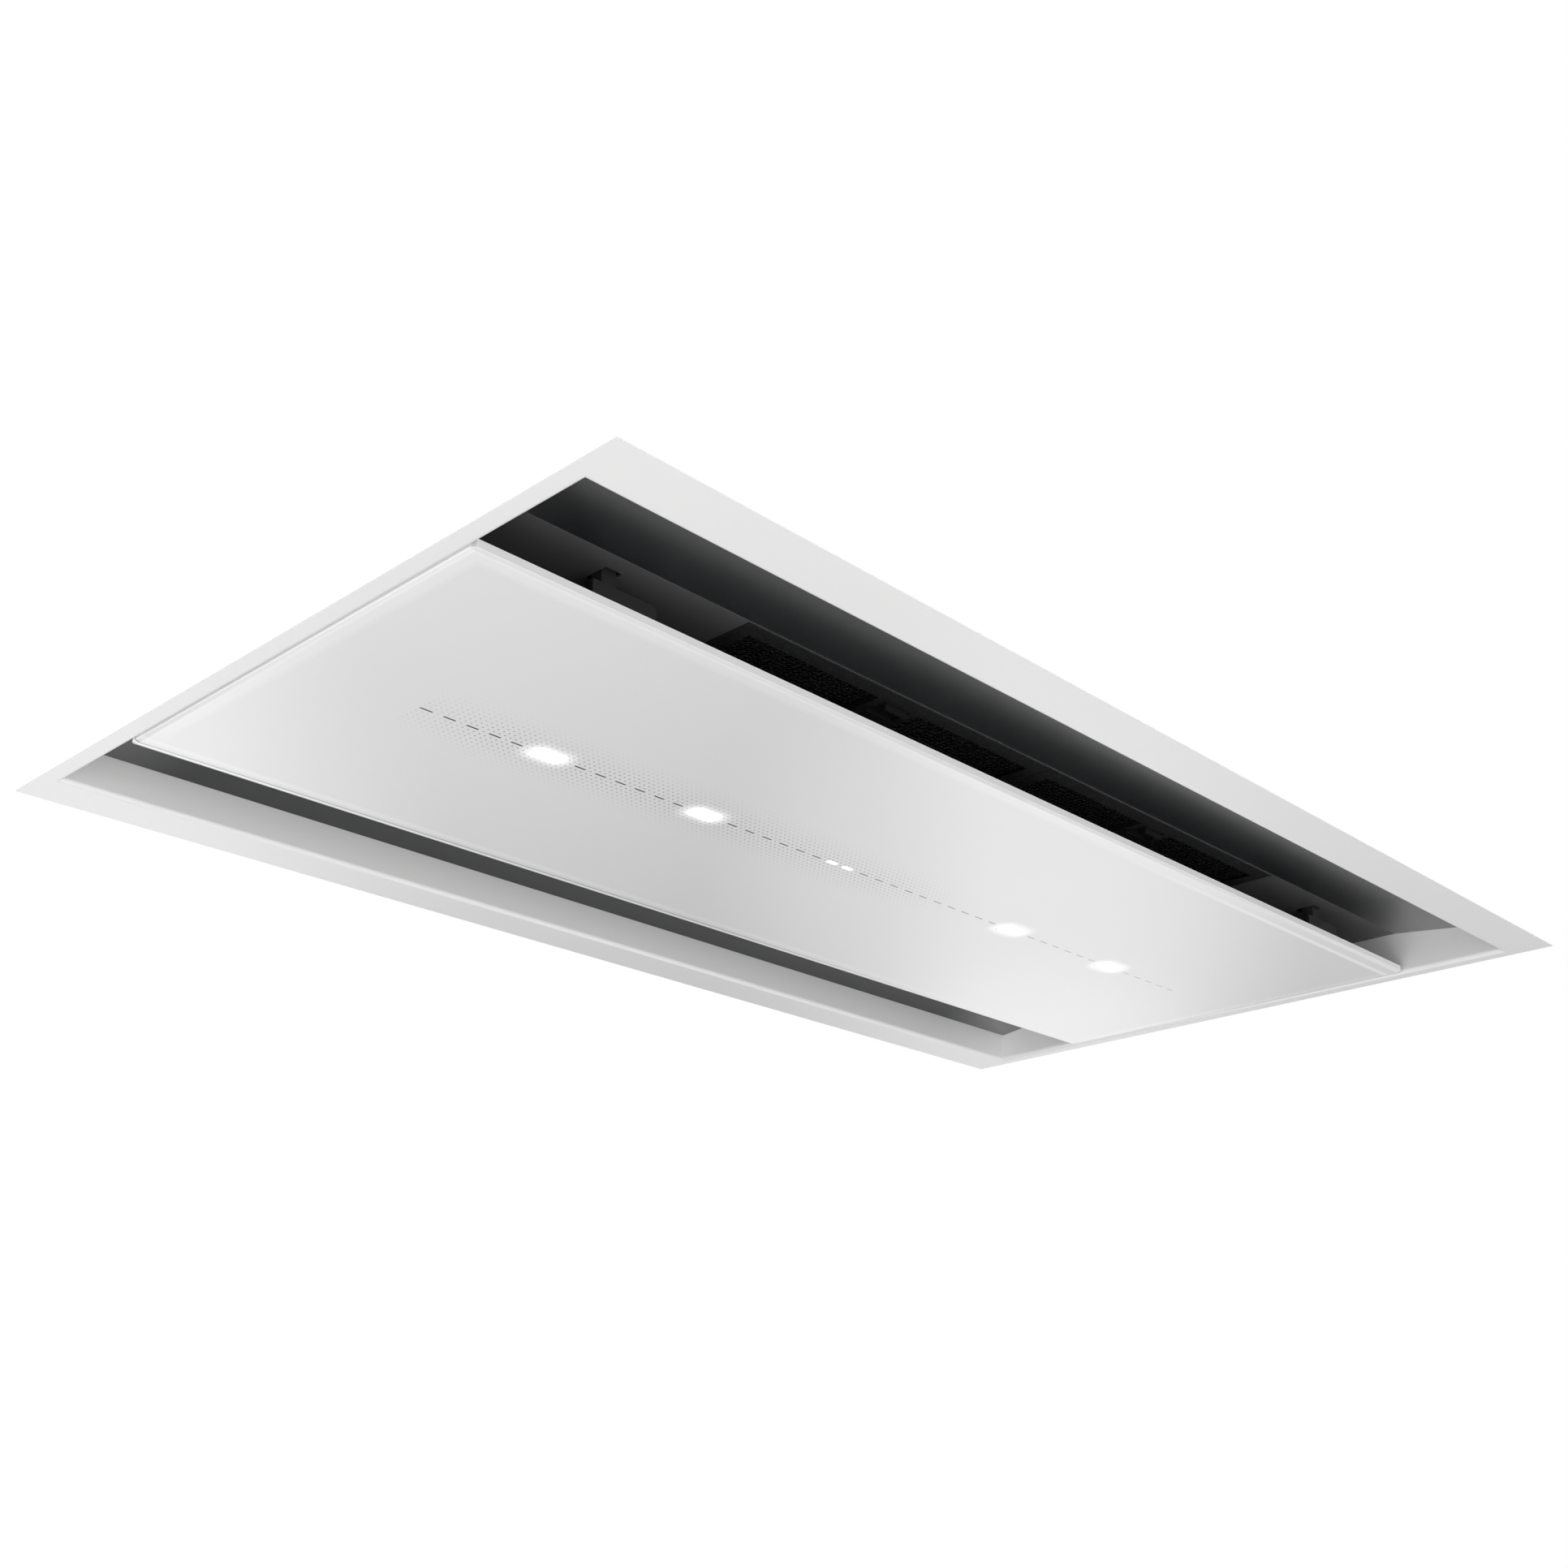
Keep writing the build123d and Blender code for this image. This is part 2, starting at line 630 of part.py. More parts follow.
def casing():
    wall_line = [(-long_skirt, intake_rim_height), (-long_skirt, casing_height),
                 (casing_flange - long_skirt, casing_height)]
    section = folded(wall_line, intake_bend, casing_sheet, Side.RIGHT)
    long_wall = along_x(section, 2 * (short_skirt - casing_sheet))

    end_line = [(-short_skirt, intake_rim_height), (-short_skirt, casing_height),
                (casing_flange - short_skirt, casing_height)]
    end_wall = along_y(folded(end_line, intake_bend, casing_sheet, Side.RIGHT), 2 * long_skirt)
    for side in (-1, 1):
        corner = block(casing_sheet - short_skirt, casing_flange + past - short_skirt,
                       long_skirt - casing_flange, long_skirt + past,
                       casing_height - 2 * intake_bend, casing_height + past)
        end_wall -= corner if side > 0 else mirror(corner, Plane.XZ)

    holes = screw_holes(top_screw_places(), casing_height - past, casing_top + past)
    write("casing_front_wall", long_wall - holes)
    write("casing_rear_wall", mirror(long_wall, Plane.XZ) - holes)
    write("casing_left_wall", end_wall - holes)
    write("casing_right_wall", mirror(end_wall, Plane.YZ) - holes)

    top = block(-short_skirt, short_skirt, -long_skirt, long_skirt, casing_height, casing_top)
    for x in casing_bead_columns:
        for y in casing_bead_rows:
            top = pressed_bead(top, Pos(x, y, casing_top), casing_bead_length, casing_sheet)
    top -= rod(air_hole_radius, 2 * past, scroll_x, scroll_y, casing_height - past)
    top -= holes
    top -= screw_holes(box_screw_places(), casing_height - past, casing_top + past)
    write("casing_top", top)
    screws = [Pos(x, y, casing_top) * pan_screw() for x, y in top_screw_places()]
    write("casing_screws", *screws)


def hangers():
    line = [(long_skirt, hanger_bottom), (long_skirt, hanger_top),
            (long_skirt + hanger_reach, hanger_top)]
    hanger = along_x(folded(line, hanger_bend, hanger_sheet, Side.RIGHT), hanger_width)
    hole = long_skirt + rod_hole_reach
    hanger -= rod(rod_hole_radius, 2 * past, 0, hole, hanger_top - past)
    number = 0
    for shape in (mirror(hanger, Plane.XZ), hanger):
        for x in (hanger_end_gap - short_skirt, short_skirt - hanger_end_gap):
            number += 1
            write(f"suspension_bracket_{number}", Pos(x, 0, 0) * shape)


# blower box and outlet -------------------------------------------------------------------------


def box_screw_places():
    reach = box_wall + box_flange / 2
    side = box_size * box_screw_share
    places = [(x * reach, y * side) for x in (-1, 1) for y in (-1, 1)]
    return places + [(x * side, y * reach) for x in (-1, 1) for y in (-1, 1)]


def rounded_block(size, corner, low, high):
    return Pos(0, 0, low) * extrude(RectangleRounded(size, size, corner), high - low)


def blower_box():
    shell = rounded_block(box_size, box_corner, casing_top, lid_low)
    flange_size = box_size + 2 * box_flange
    shell += rounded_block(flange_size, box_corner + box_flange, casing_top, casing_top + box_sheet)
    inside = box_size - 2 * box_sheet
    shell -= rounded_block(inside, box_corner - box_sheet, casing_top - past, hood_height)
    shell -= screw_holes(box_screw_places(), casing_top - past, casing_top + past)
    shell -= spigot_rod(outlet_radius, box_wall - past, box_wall + past)
    write("blower_box", shell)

    lid_size = box_size + 2 * box_sheet
    lid = rounded_block(lid_size, box_corner + box_sheet, lid_rim_low, hood_height)
    lid -= rounded_block(box_size, box_corner, lid_rim_low - past, lid_low)
    for x in lid_bead_places:
        lid = pressed_bead(lid, Pos(x, 0, hood_height), lid_bead_length, box_sheet)
    write("blower_box_lid", lid)
    screws = [Pos(x, y, casing_top + box_sheet) * pan_screw() for x, y in box_screw_places()]
    write("blower_box_screws", *screws)


def spigot_rod(radius, start, end):
    """A round rod along the outlet, between two places in X."""
    return Pos(start, 0, outlet_height) * extrude(Plane.YZ * Circle(radius), end - start)


def outlet():
    bore = outlet_radius - outlet_sheet
    tube = spigot_rod(outlet_radius, outlet_start, outlet_end)
    tube += spigot_rod(outlet_flange_radius, box_wall, box_wall + outlet_flange_sheet)
    tube -= spigot_rod(bore, outlet_start - past, outlet_end + past)
    pin_reach = bore + flap_pin_seat
    pin = rod(flap_pin_radius, 2 * pin_reach, flap_axis_x, 0, outlet_height - pin_reach)
    write("outlet_spigot", tube - pin)
    write("flap_pin", pin)

    collar = bore - collar_gap
    duct_low = scroll_mouth_low - scroll_sheet
    duct_high = scroll_mouth_high + scroll_sheet
    adaptor = adaptor_loft(duct_low, duct_high, scroll_base, scroll_top, collar)
    adaptor -= adaptor_loft(scroll_mouth_low, scroll_mouth_high, scroll_base + scroll_sheet,
                            scroll_top - scroll_sheet, collar - outlet_sheet)
    write("outlet_adaptor", adaptor)


def adaptor_loft(y_low, y_high, z_low, z_high, radius):
    """From a rectangle at the scroll's mouth to a circle inside the spigot."""
    start = Plane.YZ * Pos((y_low + y_high) / 2, (z_low + z_high) / 2) * Rectangle(
        y_high - y_low, z_high - z_low)
    end = Plane.YZ * Pos(0, outlet_height) * Circle(radius)
    taper = loft([Pos(scroll_mouth, 0, 0) * start, Pos(outlet_start, 0, 0) * end])
    return taper + spigot_rod(radius, outlet_start, outlet_start + collar_length)


def flaps():
    rim = outlet_radius - outlet_sheet - flap_gap
    disc = Plane.YZ * Pos(0, outlet_height) * Circle(rim)
    plate = Pos(flap_axis_x, 0, 0) * extrude(disc, flap_sheet / 2, both=True)
    half = plate & block(0, hood_length, flap_edge, outlet_radius, 0, hood_height)
    low = outlet_height + flap_knuckle_gap
    for name, upper in (("left", True), ("right", False)):
        flap = half + rod(flap_knuckle_radius, flap_knuckle_length, flap_axis_x, 0, low)
        flap += block(flap_axis_x - flap_sheet / 2, flap_axis_x + flap_sheet / 2, 0, flap_edge,
                      low, low + flap_knuckle_length)
        flap -= rod(flap_pin_radius + flap_pin_gap, hood_height, flap_axis_x, 0, 0)
        if not upper:
            flap = Pos(0, 0, 2 * outlet_height) * mirror(mirror(flap, Plane.XZ), Plane.XY)
        write(f"backdraft_flap_{name}", flap)


# blower ----------------------------------------------------------------------------------------


def scroll_line():
    """Inside of the wrap: mouth, three quarter turns about a small square, tongue, mouth."""
    near = (scroll_x - scroll_step / 2, scroll_y + scroll_step / 2)
    middle = (near[0], near[1] - scroll_step)
    far = (near[0] + scroll_step, middle[1])
    last_radius = scroll_first_radius + 2 * scroll_step
    tongue = (near[0] + scroll_first_radius + scroll_nose, near[1])
    return [
        Line((scroll_mouth, scroll_mouth_low), (far[0], scroll_mouth_low)),
        CenterArc(far, last_radius, 270, -90),
        CenterArc(middle, scroll_first_radius + scroll_step, 180, -90),
        CenterArc(near, scroll_first_radius, 90, -90),
        CenterArc(tongue, scroll_nose, 180, 90),
        Line((tongue[0], scroll_mouth_high), (scroll_mouth, scroll_mouth_high)),
    ]


def scroll():
    wire = Wire(scroll_line())
    wrap = make_face(offset(wire, amount=scroll_sheet, side=Side.LEFT))
    wrap_low = scroll_base + scroll_sheet
    wrap_high = scroll_top - scroll_sheet
    write("scroll_wrap", Pos(0, 0, wrap_low) * extrude(wrap, wrap_high - wrap_low))

    ends = [wire @ 0, wire @ 1]
    outline = make_face(Wire(scroll_line() + [Line(ends[1], ends[0])]))
    plate = offset(outline, scroll_sheet + scroll_edge)
    plate &= Pos(scroll_mouth - hood_length / 2, 0) * Rectangle(hood_length, hood_length)
    plate = extrude(plate, scroll_sheet)
    base = plate - rod(inlet_collar_radius, 2 * past, scroll_x, scroll_y, -past)
    cover = plate - rod(motor_radius + motor_rib_height, 2 * past, scroll_x, scroll_y, -past)
    write("scroll_base", Pos(0, 0, scroll_base) * base)
    write("scroll_cover", Pos(0, 0, wrap_high) * cover)


def inlet_ring():
    bell_centre = (inlet_neck_radius + bell_radius, inlet_neck_top)
    outer_bell = bell_radius - inlet_sheet
    line = CenterArc(bell_centre, bell_radius, 180, 90)
    line += CenterArc(bell_centre, outer_bell, 180, 90)
    neck = Line((inlet_neck_radius, inlet_neck_top), (bell_centre[0] - outer_bell, inlet_neck_top))
    foot = Polyline((bell_centre[0], casing_top), (inlet_flange_radius, casing_top),
                    (inlet_flange_radius, casing_top + inlet_sheet),
                    (bell_centre[0], casing_top + inlet_sheet))
    section = make_face(line + neck + foot)
    collar = make_face(Polyline(
        (inlet_collar_radius - inlet_neck_wall / 2, scroll_base - inlet_sheet),
        (inlet_collar_radius + inlet_neck_wall, scroll_base - inlet_sheet),
        (inlet_collar_radius + inlet_neck_wall, scroll_base),
        (inlet_collar_radius - inlet_neck_wall / 2, scroll_base), close=True))
    ring = revolve(Plane.XZ * (section + collar), Axis.Z)
    write("inlet_ring", Pos(scroll_x, scroll_y, 0) * ring)


def impeller_blade():
    """Forward-curved blade, as a thin arc between the eye and the rim."""
    lean = radians(blade_lean)
    inner = (impeller_eye, 0)
    outer = (impeller_radius * cos(lean), impeller_radius * sin(lean))
    arc = RadiusArc(inner, outer, blade_curve)
    return make_face(offset(arc, amount=blade_sheet, side=Side.LEFT))


def impeller():
    rim = Circle(impeller_radius) - Circle(impeller_eye)
    wheel = Pos(0, 0, impeller_base) * extrude(rim, impeller_plate)
    blade = Pos(0, 0, impeller_base) * extrude(impeller_blade(), impeller_top - impeller_base)
    for place in PolarLocations(0, blade_count):
        wheel += place * blade
    dish_floor = motor_bottom - dish_gap
    dish_inside = dish_radius - impeller_plate
    wheel += turned([(0, dish_floor), (dish_radius, dish_floor), (dish_radius, impeller_top),
                     (impeller_radius, impeller_top),
                     (impeller_radius, impeller_top + impeller_plate),
                     (dish_inside, impeller_top + impeller_plate),
                     (dish_inside, dish_floor + impeller_plate),
                     (0, dish_floor + impeller_plate)])
    wheel += rod(hub_radius, hub_length, 0, 0, hub_low)
    wheel -= rod(shaft_radius, hood_height)
    write("impeller", Pos(scroll_x, scroll_y, 0) * wheel)
    write("motor_shaft", rod(shaft_radius, shaft_high - shaft_low, scroll_x, scroll_y, shaft_low))
    nut = extrude(RegularPolygon(nut_radius, 6), nut_height) - rod(shaft_radius, nut_height)
    write("impeller_nut", Pos(scroll_x, scroll_y, hub_low - nut_height) * nut)


def motor():
    inside = motor_radius - motor_edge
    flange_radius = motor_radius + motor_flange_width
    body = turned([(0, motor_bottom), (inside, motor_bottom),
                   (motor_radius, motor_bottom + motor_edge), (motor_radius, scroll_top),
                   (flange_radius, scroll_top), (flange_radius, scroll_top + motor_flange),
                   (motor_radius, scroll_top + motor_flange), (motor_radius, motor_top - motor_edge),
                   (inside, motor_top), (0, motor_top)])
    rib_low = scroll_top + motor_flange
    rib = block(inside, motor_radius + motor_rib_height, -motor_rib_width / 2, motor_rib_width / 2,
                rib_low, motor_top - motor_edge)
    for place in PolarLocations(0, motor_rib_count):
        body += place * rib
    body -= rod(shaft_radius + shaft_gap, shaft_high + hub_gap - motor_bottom + past, 0, 0,
                motor_bottom - past)
    write("motor", Pos(scroll_x, scroll_y, 0) * body)


# control box -----------------------------------------------------------------------------------


def control_block(grow, low, high):
    return block(control_x - control_length / 2 - grow, control_x + control_length / 2 + grow,
                 -control_width / 2 - grow, control_width / 2 + grow, casing_top + low,
                 casing_top + high)


def control_box():
    wall_x = control_x - control_length / 2
    floor = casing_top + control_sheet
    tray_box = control_block(0, 0, control_height)
    tray_box -= control_block(-control_sheet, control_sheet, control_height + past)
    board_x = wall_x + control_sheet + board_side_gap + board_length / 2
    for x in (-board_post_share, board_post_share):
        for y in (-board_post_share, board_post_share):
            tray_box += rod(board_post_radius, board_post, board_x + x * board_length,
                            y * board_width, floor)
    gland_place = Pos(wall_x, 0, gland_height) * Plane.YZ.location
    tray_box -= gland_place * rod(gland_thread_radius, 2 * past, 0, 0, -past)
    write("control_box", tray_box)

    cover = control_block(control_sheet, control_height - control_rim, control_height + control_sheet)
    cover -= control_block(0, control_height - control_rim - past, control_height)
    write("control_box_cover", cover)

    board_top = floor + board_post + board_thickness
    board = Pos(board_x, 0, board_top - board_thickness / 2) * Box(board_length, board_width,
                                                                   board_thickness)
    for x, y, length, width, height in board_parts:
        board += Pos(board_x + x, y, board_top + height / 2) * Box(length, width, height)
    for y in relay_places:
        board += Pos(board_x + relay_x, y, board_top + relay_size[2] / 2) * Box(*relay_size)
    write("control_board", board)

    can_x = wall_x + control_length - control_sheet - capacitor_radius - capacitor_gap
    can = along_y(Circle(capacitor_radius), capacitor_length)
    write("motor_capacitor", Pos(can_x, 0, floor + capacitor_radius) * can)

    hexagon = RegularPolygon(gland_nut_radius, 6)
    dome = extrude(Circle(gland_dome_radius), -gland_dome_height, taper=gland_dome_taper)
    gland = extrude(hexagon, -gland_nut_height) + Pos(0, 0, -gland_nut_height) * dome
    gland += rod(gland_thread_radius, gland_thread_length)
    gland += Pos(0, 0, control_sheet) * extrude(hexagon, gland_inner_nut_height)
    gland -= extrude(Circle(gland_bore_radius), hood_height, both=True)
    write("cable_gland", gland_place * gland)


# run -------------------------------------------------------------------------------------------

frame_rails()
intake()
catches()
glass()
tray()
lights()
latch_brackets()
hinges()
filters()
casing()
hangers()
blower_box()
outlet()
flaps()
scroll()
inlet_ring()
impeller()
motor()
control_box()
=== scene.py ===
import json
import math
import bmesh
import bpy
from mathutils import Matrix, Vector


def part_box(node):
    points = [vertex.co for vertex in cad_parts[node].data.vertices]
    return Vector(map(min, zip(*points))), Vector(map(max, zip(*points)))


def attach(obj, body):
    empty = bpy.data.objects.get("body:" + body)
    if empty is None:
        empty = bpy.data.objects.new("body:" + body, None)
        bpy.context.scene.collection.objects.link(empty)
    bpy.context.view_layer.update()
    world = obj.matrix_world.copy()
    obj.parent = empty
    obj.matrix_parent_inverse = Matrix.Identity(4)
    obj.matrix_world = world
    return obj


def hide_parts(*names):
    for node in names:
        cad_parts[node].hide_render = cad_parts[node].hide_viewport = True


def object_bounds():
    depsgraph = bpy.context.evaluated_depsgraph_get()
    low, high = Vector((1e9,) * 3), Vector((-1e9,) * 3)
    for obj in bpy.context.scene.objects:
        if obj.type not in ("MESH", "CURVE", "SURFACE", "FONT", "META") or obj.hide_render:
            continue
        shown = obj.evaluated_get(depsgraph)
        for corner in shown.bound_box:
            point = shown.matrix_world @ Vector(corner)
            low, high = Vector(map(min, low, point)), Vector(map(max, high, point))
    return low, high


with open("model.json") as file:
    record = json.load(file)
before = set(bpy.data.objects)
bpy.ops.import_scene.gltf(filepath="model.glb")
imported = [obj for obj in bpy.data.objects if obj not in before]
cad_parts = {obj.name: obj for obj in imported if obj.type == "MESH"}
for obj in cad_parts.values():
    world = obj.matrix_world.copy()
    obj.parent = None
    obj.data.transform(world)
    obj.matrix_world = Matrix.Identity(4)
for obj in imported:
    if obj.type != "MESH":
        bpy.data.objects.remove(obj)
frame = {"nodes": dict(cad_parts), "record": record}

cadLow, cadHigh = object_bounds()
nodes = frame["nodes"]
scene = bpy.context.scene
mm = 0.001
corners = ((-1, -1), (1, -1), (1, 1), (-1, 1))
fullWhite = (1.0, 1.0, 1.0, 1.0)
lampNames = ("lamp_lens_1", "lamp_lens_2", "lamp_lens_3", "lamp_lens_4")
print("frame loaded:", len(nodes), "nodes")


# small helpers for node trees

def addNode(tree, kind, inputs=None, **settings):
    node = tree.nodes.new(kind)
    for key, value in settings.items():
        setattr(node, key, value)
    for key, value in (inputs or {}).items():
        if isinstance(value, bpy.types.NodeSocket):
            tree.links.new(value, node.inputs[key])
        else:
            node.inputs[key].default_value = value
    return node


def calc(tree, operation, *values):
    return addNode(tree, "ShaderNodeMath", dict(enumerate(values)), operation=operation).outputs[0]


def combine(tree, operation, first, *others):
    for other in others:
        first = calc(tree, operation, first, other)
    return first


def apart(tree, value, middle):
    return calc(tree, "ABSOLUTE", calc(tree, "SUBTRACT", value, middle))


def beyond(tree, value, limit):
    return calc(tree, "MAXIMUM", calc(tree, "SUBTRACT", value, limit), 0.0)


def reachOf(tree, first, second):
    squares = [calc(tree, "MULTIPLY", value, value) for value in (first, second)]
    return calc(tree, "SQRT", calc(tree, "ADD", *squares))


def offGrid(tree, value, pitch):      # distance to the nearest multiple of the pitch
    return calc(tree, "ABSOLUTE", calc(tree, "WRAP", value, pitch / 2, -pitch / 2))


def ramp(tree, value, low, high, outLow=0.0, outHigh=1.0, kind="SMOOTHSTEP"):
    spans = {"Value": value, "From Min": low, "From Max": high, "To Min": outLow, "To Max": outHigh}
    return addNode(tree, "ShaderNodeMapRange", spans, interpolation_type=kind).outputs["Result"]


def step(tree, value, place, soft):      # 1 below the place, 0 above it, with a soft edge
    return ramp(tree, value, place + soft, place - soft)


def mixColour(tree, factor, first, second):
    inputs = {0: factor}      # sockets 6 and 7 are the two colours, output 2 is their mix
    for socket, colour in ((6, first), (7, second)):
        inputs[socket] = (*colour, 1.0) if isinstance(colour, tuple) else colour
    return addNode(tree, "ShaderNodeMix", inputs, data_type="RGBA").outputs[2]


def noise(tree, place, scale, detail):
    settings = {"Vector": place, "Scale": scale, "Detail": detail}
    return addNode(tree, "ShaderNodeTexNoise", settings).outputs["Fac"]


def axesOf(tree, place):
    return addNode(tree, "ShaderNodeSeparateXYZ", {"Vector": place}).outputs


def flatPlace(tree, place):      # X and Y in millimetres
    axes = axesOf(tree, place)
    return [calc(tree, "MULTIPLY", axes[name], 1.0 / mm) for name in ("X", "Y")]


def feed(tree, value, shader, name):
    tree.links.new(value, shader.inputs[name])


def addBump(tree, shader, height, strength, depth):
    settings = {"Height": height, "Strength": strength, "Distance": depth * mm}
    feed(tree, addNode(tree, "ShaderNodeBump", settings).outputs["Normal"], shader, "Normal")


def startMaterial(name, settings):
    material = bpy.data.materials.new(name)
    material.use_nodes = True
    tree = material.node_tree
    shader = tree.nodes["Principled BSDF"]
    for key, value in settings.items():
        shader.inputs[key].default_value = (*value, 1.0) if isinstance(value, tuple) else value
    place = addNode(tree, "ShaderNodeTexCoord").outputs["Object"]
    return material, tree, shader, place


# finishes: noises are (scale, detail), bumps (strength, depth in millimetres)

noiseSpan = (0.3, 0.7)      # nearly all of a noise lies between these
blackTones = ((0.050, 0.051, 0.054), (0.056, 0.057, 0.060))      # clean and dusty


# one black paint in lighter and darker copies per part: the factor is painted light and shade
def blackPaint(shade):
    return [tuple(shade * part for part in tone) for tone in blackTones]


grained = {
    "satin_white_powder": {
        "colours": ((0.765, 0.765, 0.765), (0.74, 0.74, 0.735)), "cloud": (5.0, 3.0),
        "grain": (1300.0, 2.0), "rough": (0.34, 0.42), "bump": (0.12, 0.05),
        "shader": {"Specular IOR Level": 0.4, "Coat Weight": 0.7, "Coat Roughness": 0.2}},
    "black_bracket_paint": {
        "colours": blackPaint(0.6), "cloud": (14.0, 4.0), "grain": (1800.0, 2.0),
        "rough": (0.3, 0.4), "bump": (0.2, 0.06), "shader": {"Specular IOR Level": 0.35}},
    "black_filter_metal": {
        "colours": blackPaint(0.3), "cloud": (14.0, 4.0), "grain": (1800.0, 2.0),
        "rough": (0.26, 0.36), "bump": (0.2, 0.06), "shader": {"Specular IOR Level": 0.4},
        # a painted highlight along the frame edges, in a light grey
        "paintedHighlight": {"colour": (0.16, 0.16, 0.16), "start": 0.9, "end": 0.2}},
    "black_expanded_metal": {
        "colours": blackPaint(0.2), "cloud": (14.0, 4.0), "grain": (1800.0, 2.0),
        "rough": (0.26, 0.36), "bump": (0.2, 0.06), "shader": {"Specular IOR Level": 0.4}},
    "zinc_plated_steel": {
        "colours": ((0.52, 0.53, 0.54), (0.68, 0.69, 0.70)), "cloud": (420.0, 4.0),
        "grain": (420.0, 4.0), "rough": (0.22, 0.36), "shader": {"Metallic": 1.0}},
    "moulded_black_plastic": {
        "colours": ((0.018, 0.018, 0.02), (0.026, 0.026, 0.028)), "cloud": (30.0, 3.0),
        "grain": (900.0, 3.0), "rough": (0.42, 0.58), "bump": (0.25, 0.06),
        "shader": {"Specular IOR Level": 0.45}},
    "dark_motor_paint": {
        "colours": ((0.03, 0.032, 0.035), (0.05, 0.052, 0.055)), "cloud": (25.0, 3.0),
        "grain": (500.0, 4.0), "rough": (0.3, 0.5), "bump": (0.3, 0.12),
        "shader": {"Specular IOR Level": 0.5}}}


def makeGrained(name):
    look = grained[name]
    material, tree, shader, place = startMaterial(name, look["shader"])
    paint = mixColour(tree, noise(tree, place, *look["cloud"]), *look["colours"])
    if "paintedHighlight" in look:      # a painted highlight along the near and far edges of the filter frames
        paintedHighlight, edge = look["paintedHighlight"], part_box("filter_frame_left")[1].y
        across = calc(tree, "ABSOLUTE", axesOf(tree, place)["Y"])
        blendAmount = ramp(tree, across, edge - paintedHighlight["start"] * mm, edge - paintedHighlight["end"] * mm)
        paint = mixColour(tree, blendAmount, paint, paintedHighlight["colour"])
    grain = noise(tree, place, *look["grain"])
    feed(tree, paint, shader, "Base Color")
    feed(tree, ramp(tree, grain, *noiseSpan, *look["rough"]), shader, "Roughness")
    if "bump" in look:
        addBump(tree, shader, grain, *look["bump"])
    return material


# the sheet's flat middle lies above flatHeight; colours are clean and dusty, and the flat middle is
# painted far lighter than the sloping strips: painted light and shade on one black sheet; a painted
# highlight runs along the crease
sheetBlack = {"flatHeight": 31.93 * mm, "crease": 142.0 * mm, "creaseHalf": 0.5 * mm,
              "paintedHighlight": (0.11, 0.11, 0.11), "roughSpread": 0.06,
              "strip": ((0.005, 0.006, 0.0075), (0.0075, 0.0085, 0.01)), "stripRough": 0.28,
              "flat": ((0.067, 0.067, 0.067), (0.075, 0.075, 0.075)), "flatRough": 0.42,
              "dust": (14.0, 4.0), "grain": (1500.0, 2.0), "bump": (0.15, 0.05)}

# its gloss is uneven: (start, end, gloss at the start, gloss at the end), in metres
sheetGloss = {"near": (-0.05, 0.25, 0.84, 0.5), "middle": (-0.1, 0.1), "far": 0.19, "flat": 0.35,
              "rightEnd": (0.34, 0.435), "leftEnd": (-0.36, -0.44), "leftFar": (0.0, 0.1, 0.0, 0.5)}


def makeSheetBlack():
    material, tree, shader, place = startMaterial("black_intake_sheet", {"IOR": 2.2})
    axes = axesOf(tree, place)
    x, y = axes["X"], axes["Y"]
    flat = calc(tree, "GREATER_THAN", axes["Z"], sheetBlack["flatHeight"])

    near = ramp(tree, x, *sheetGloss["near"])
    gloss = ramp(tree, y, *sheetGloss["middle"], near, sheetGloss["far"])
    left = ramp(tree, x, *sheetGloss["leftEnd"], 0.0, ramp(tree, y, *sheetGloss["leftFar"]))
    ends = calc(tree, "MAXIMUM", ramp(tree, x, *sheetGloss["rightEnd"]), left)
    gloss = ramp(tree, flat, 0.0, 1.0, calc(tree, "ADD", gloss, ends), sheetGloss["flat"])
    feed(tree, gloss, shader, "Specular IOR Level")

    dust = noise(tree, place, *sheetBlack["dust"])
    # the sloping strips painted dark and the flat middle light: painted shade and painted light
    strip, plate = (mixColour(tree, dust, *sheetBlack[part]) for part in ("strip", "flat"))
    # a painted highlight along the crease
    fromCrease = apart(tree, calc(tree, "ABSOLUTE", y), sheetBlack["crease"])
    paintedHighlight = ramp(tree, fromCrease, sheetBlack["creaseHalf"], 0.0)
    paint = mixColour(tree, paintedHighlight, mixColour(tree, flat, strip, plate), sheetBlack["paintedHighlight"])
    feed(tree, paint, shader, "Base Color")

    grain = noise(tree, place, *sheetBlack["grain"])
    rough = ramp(tree, flat, 0.0, 1.0, sheetBlack["stripRough"], sheetBlack["flatRough"])
    spread = ramp(tree, grain, *noiseSpan, 0.0, sheetBlack["roughSpread"])
    feed(tree, calc(tree, "ADD", rough, spread), shader, "Roughness")
    addBump(tree, shader, grain, *sheetBlack["bump"])
    return material


# print of the control strip in millimetres: dots on a square grid, dashes along the middle row;
# fades are (start, end, strength at the start, strength at the end)
panelPrint = {"shift": 0.8, "end": 357.0, "rows": 32.0,
              "pitch": 3.75, "dot": 0.56, "dotSoft": 0.08, "dotInk": 0.8,
              "acrossFade": (2.0, 32.0, 1.0, 0.1), "rightFade": (0.0, 115.0, 1.0, 0.0),
              "leftFade": (-358.0, -300.0, 0.35, 1.0),
              "spacing": 15.0, "dash": 4.0, "dashSoft": 0.1, "dashHalf": 0.62,
              "dashHalfSoft": 0.08, "dashFade": (-200.0, 330.0, 1.0, 0.45)}


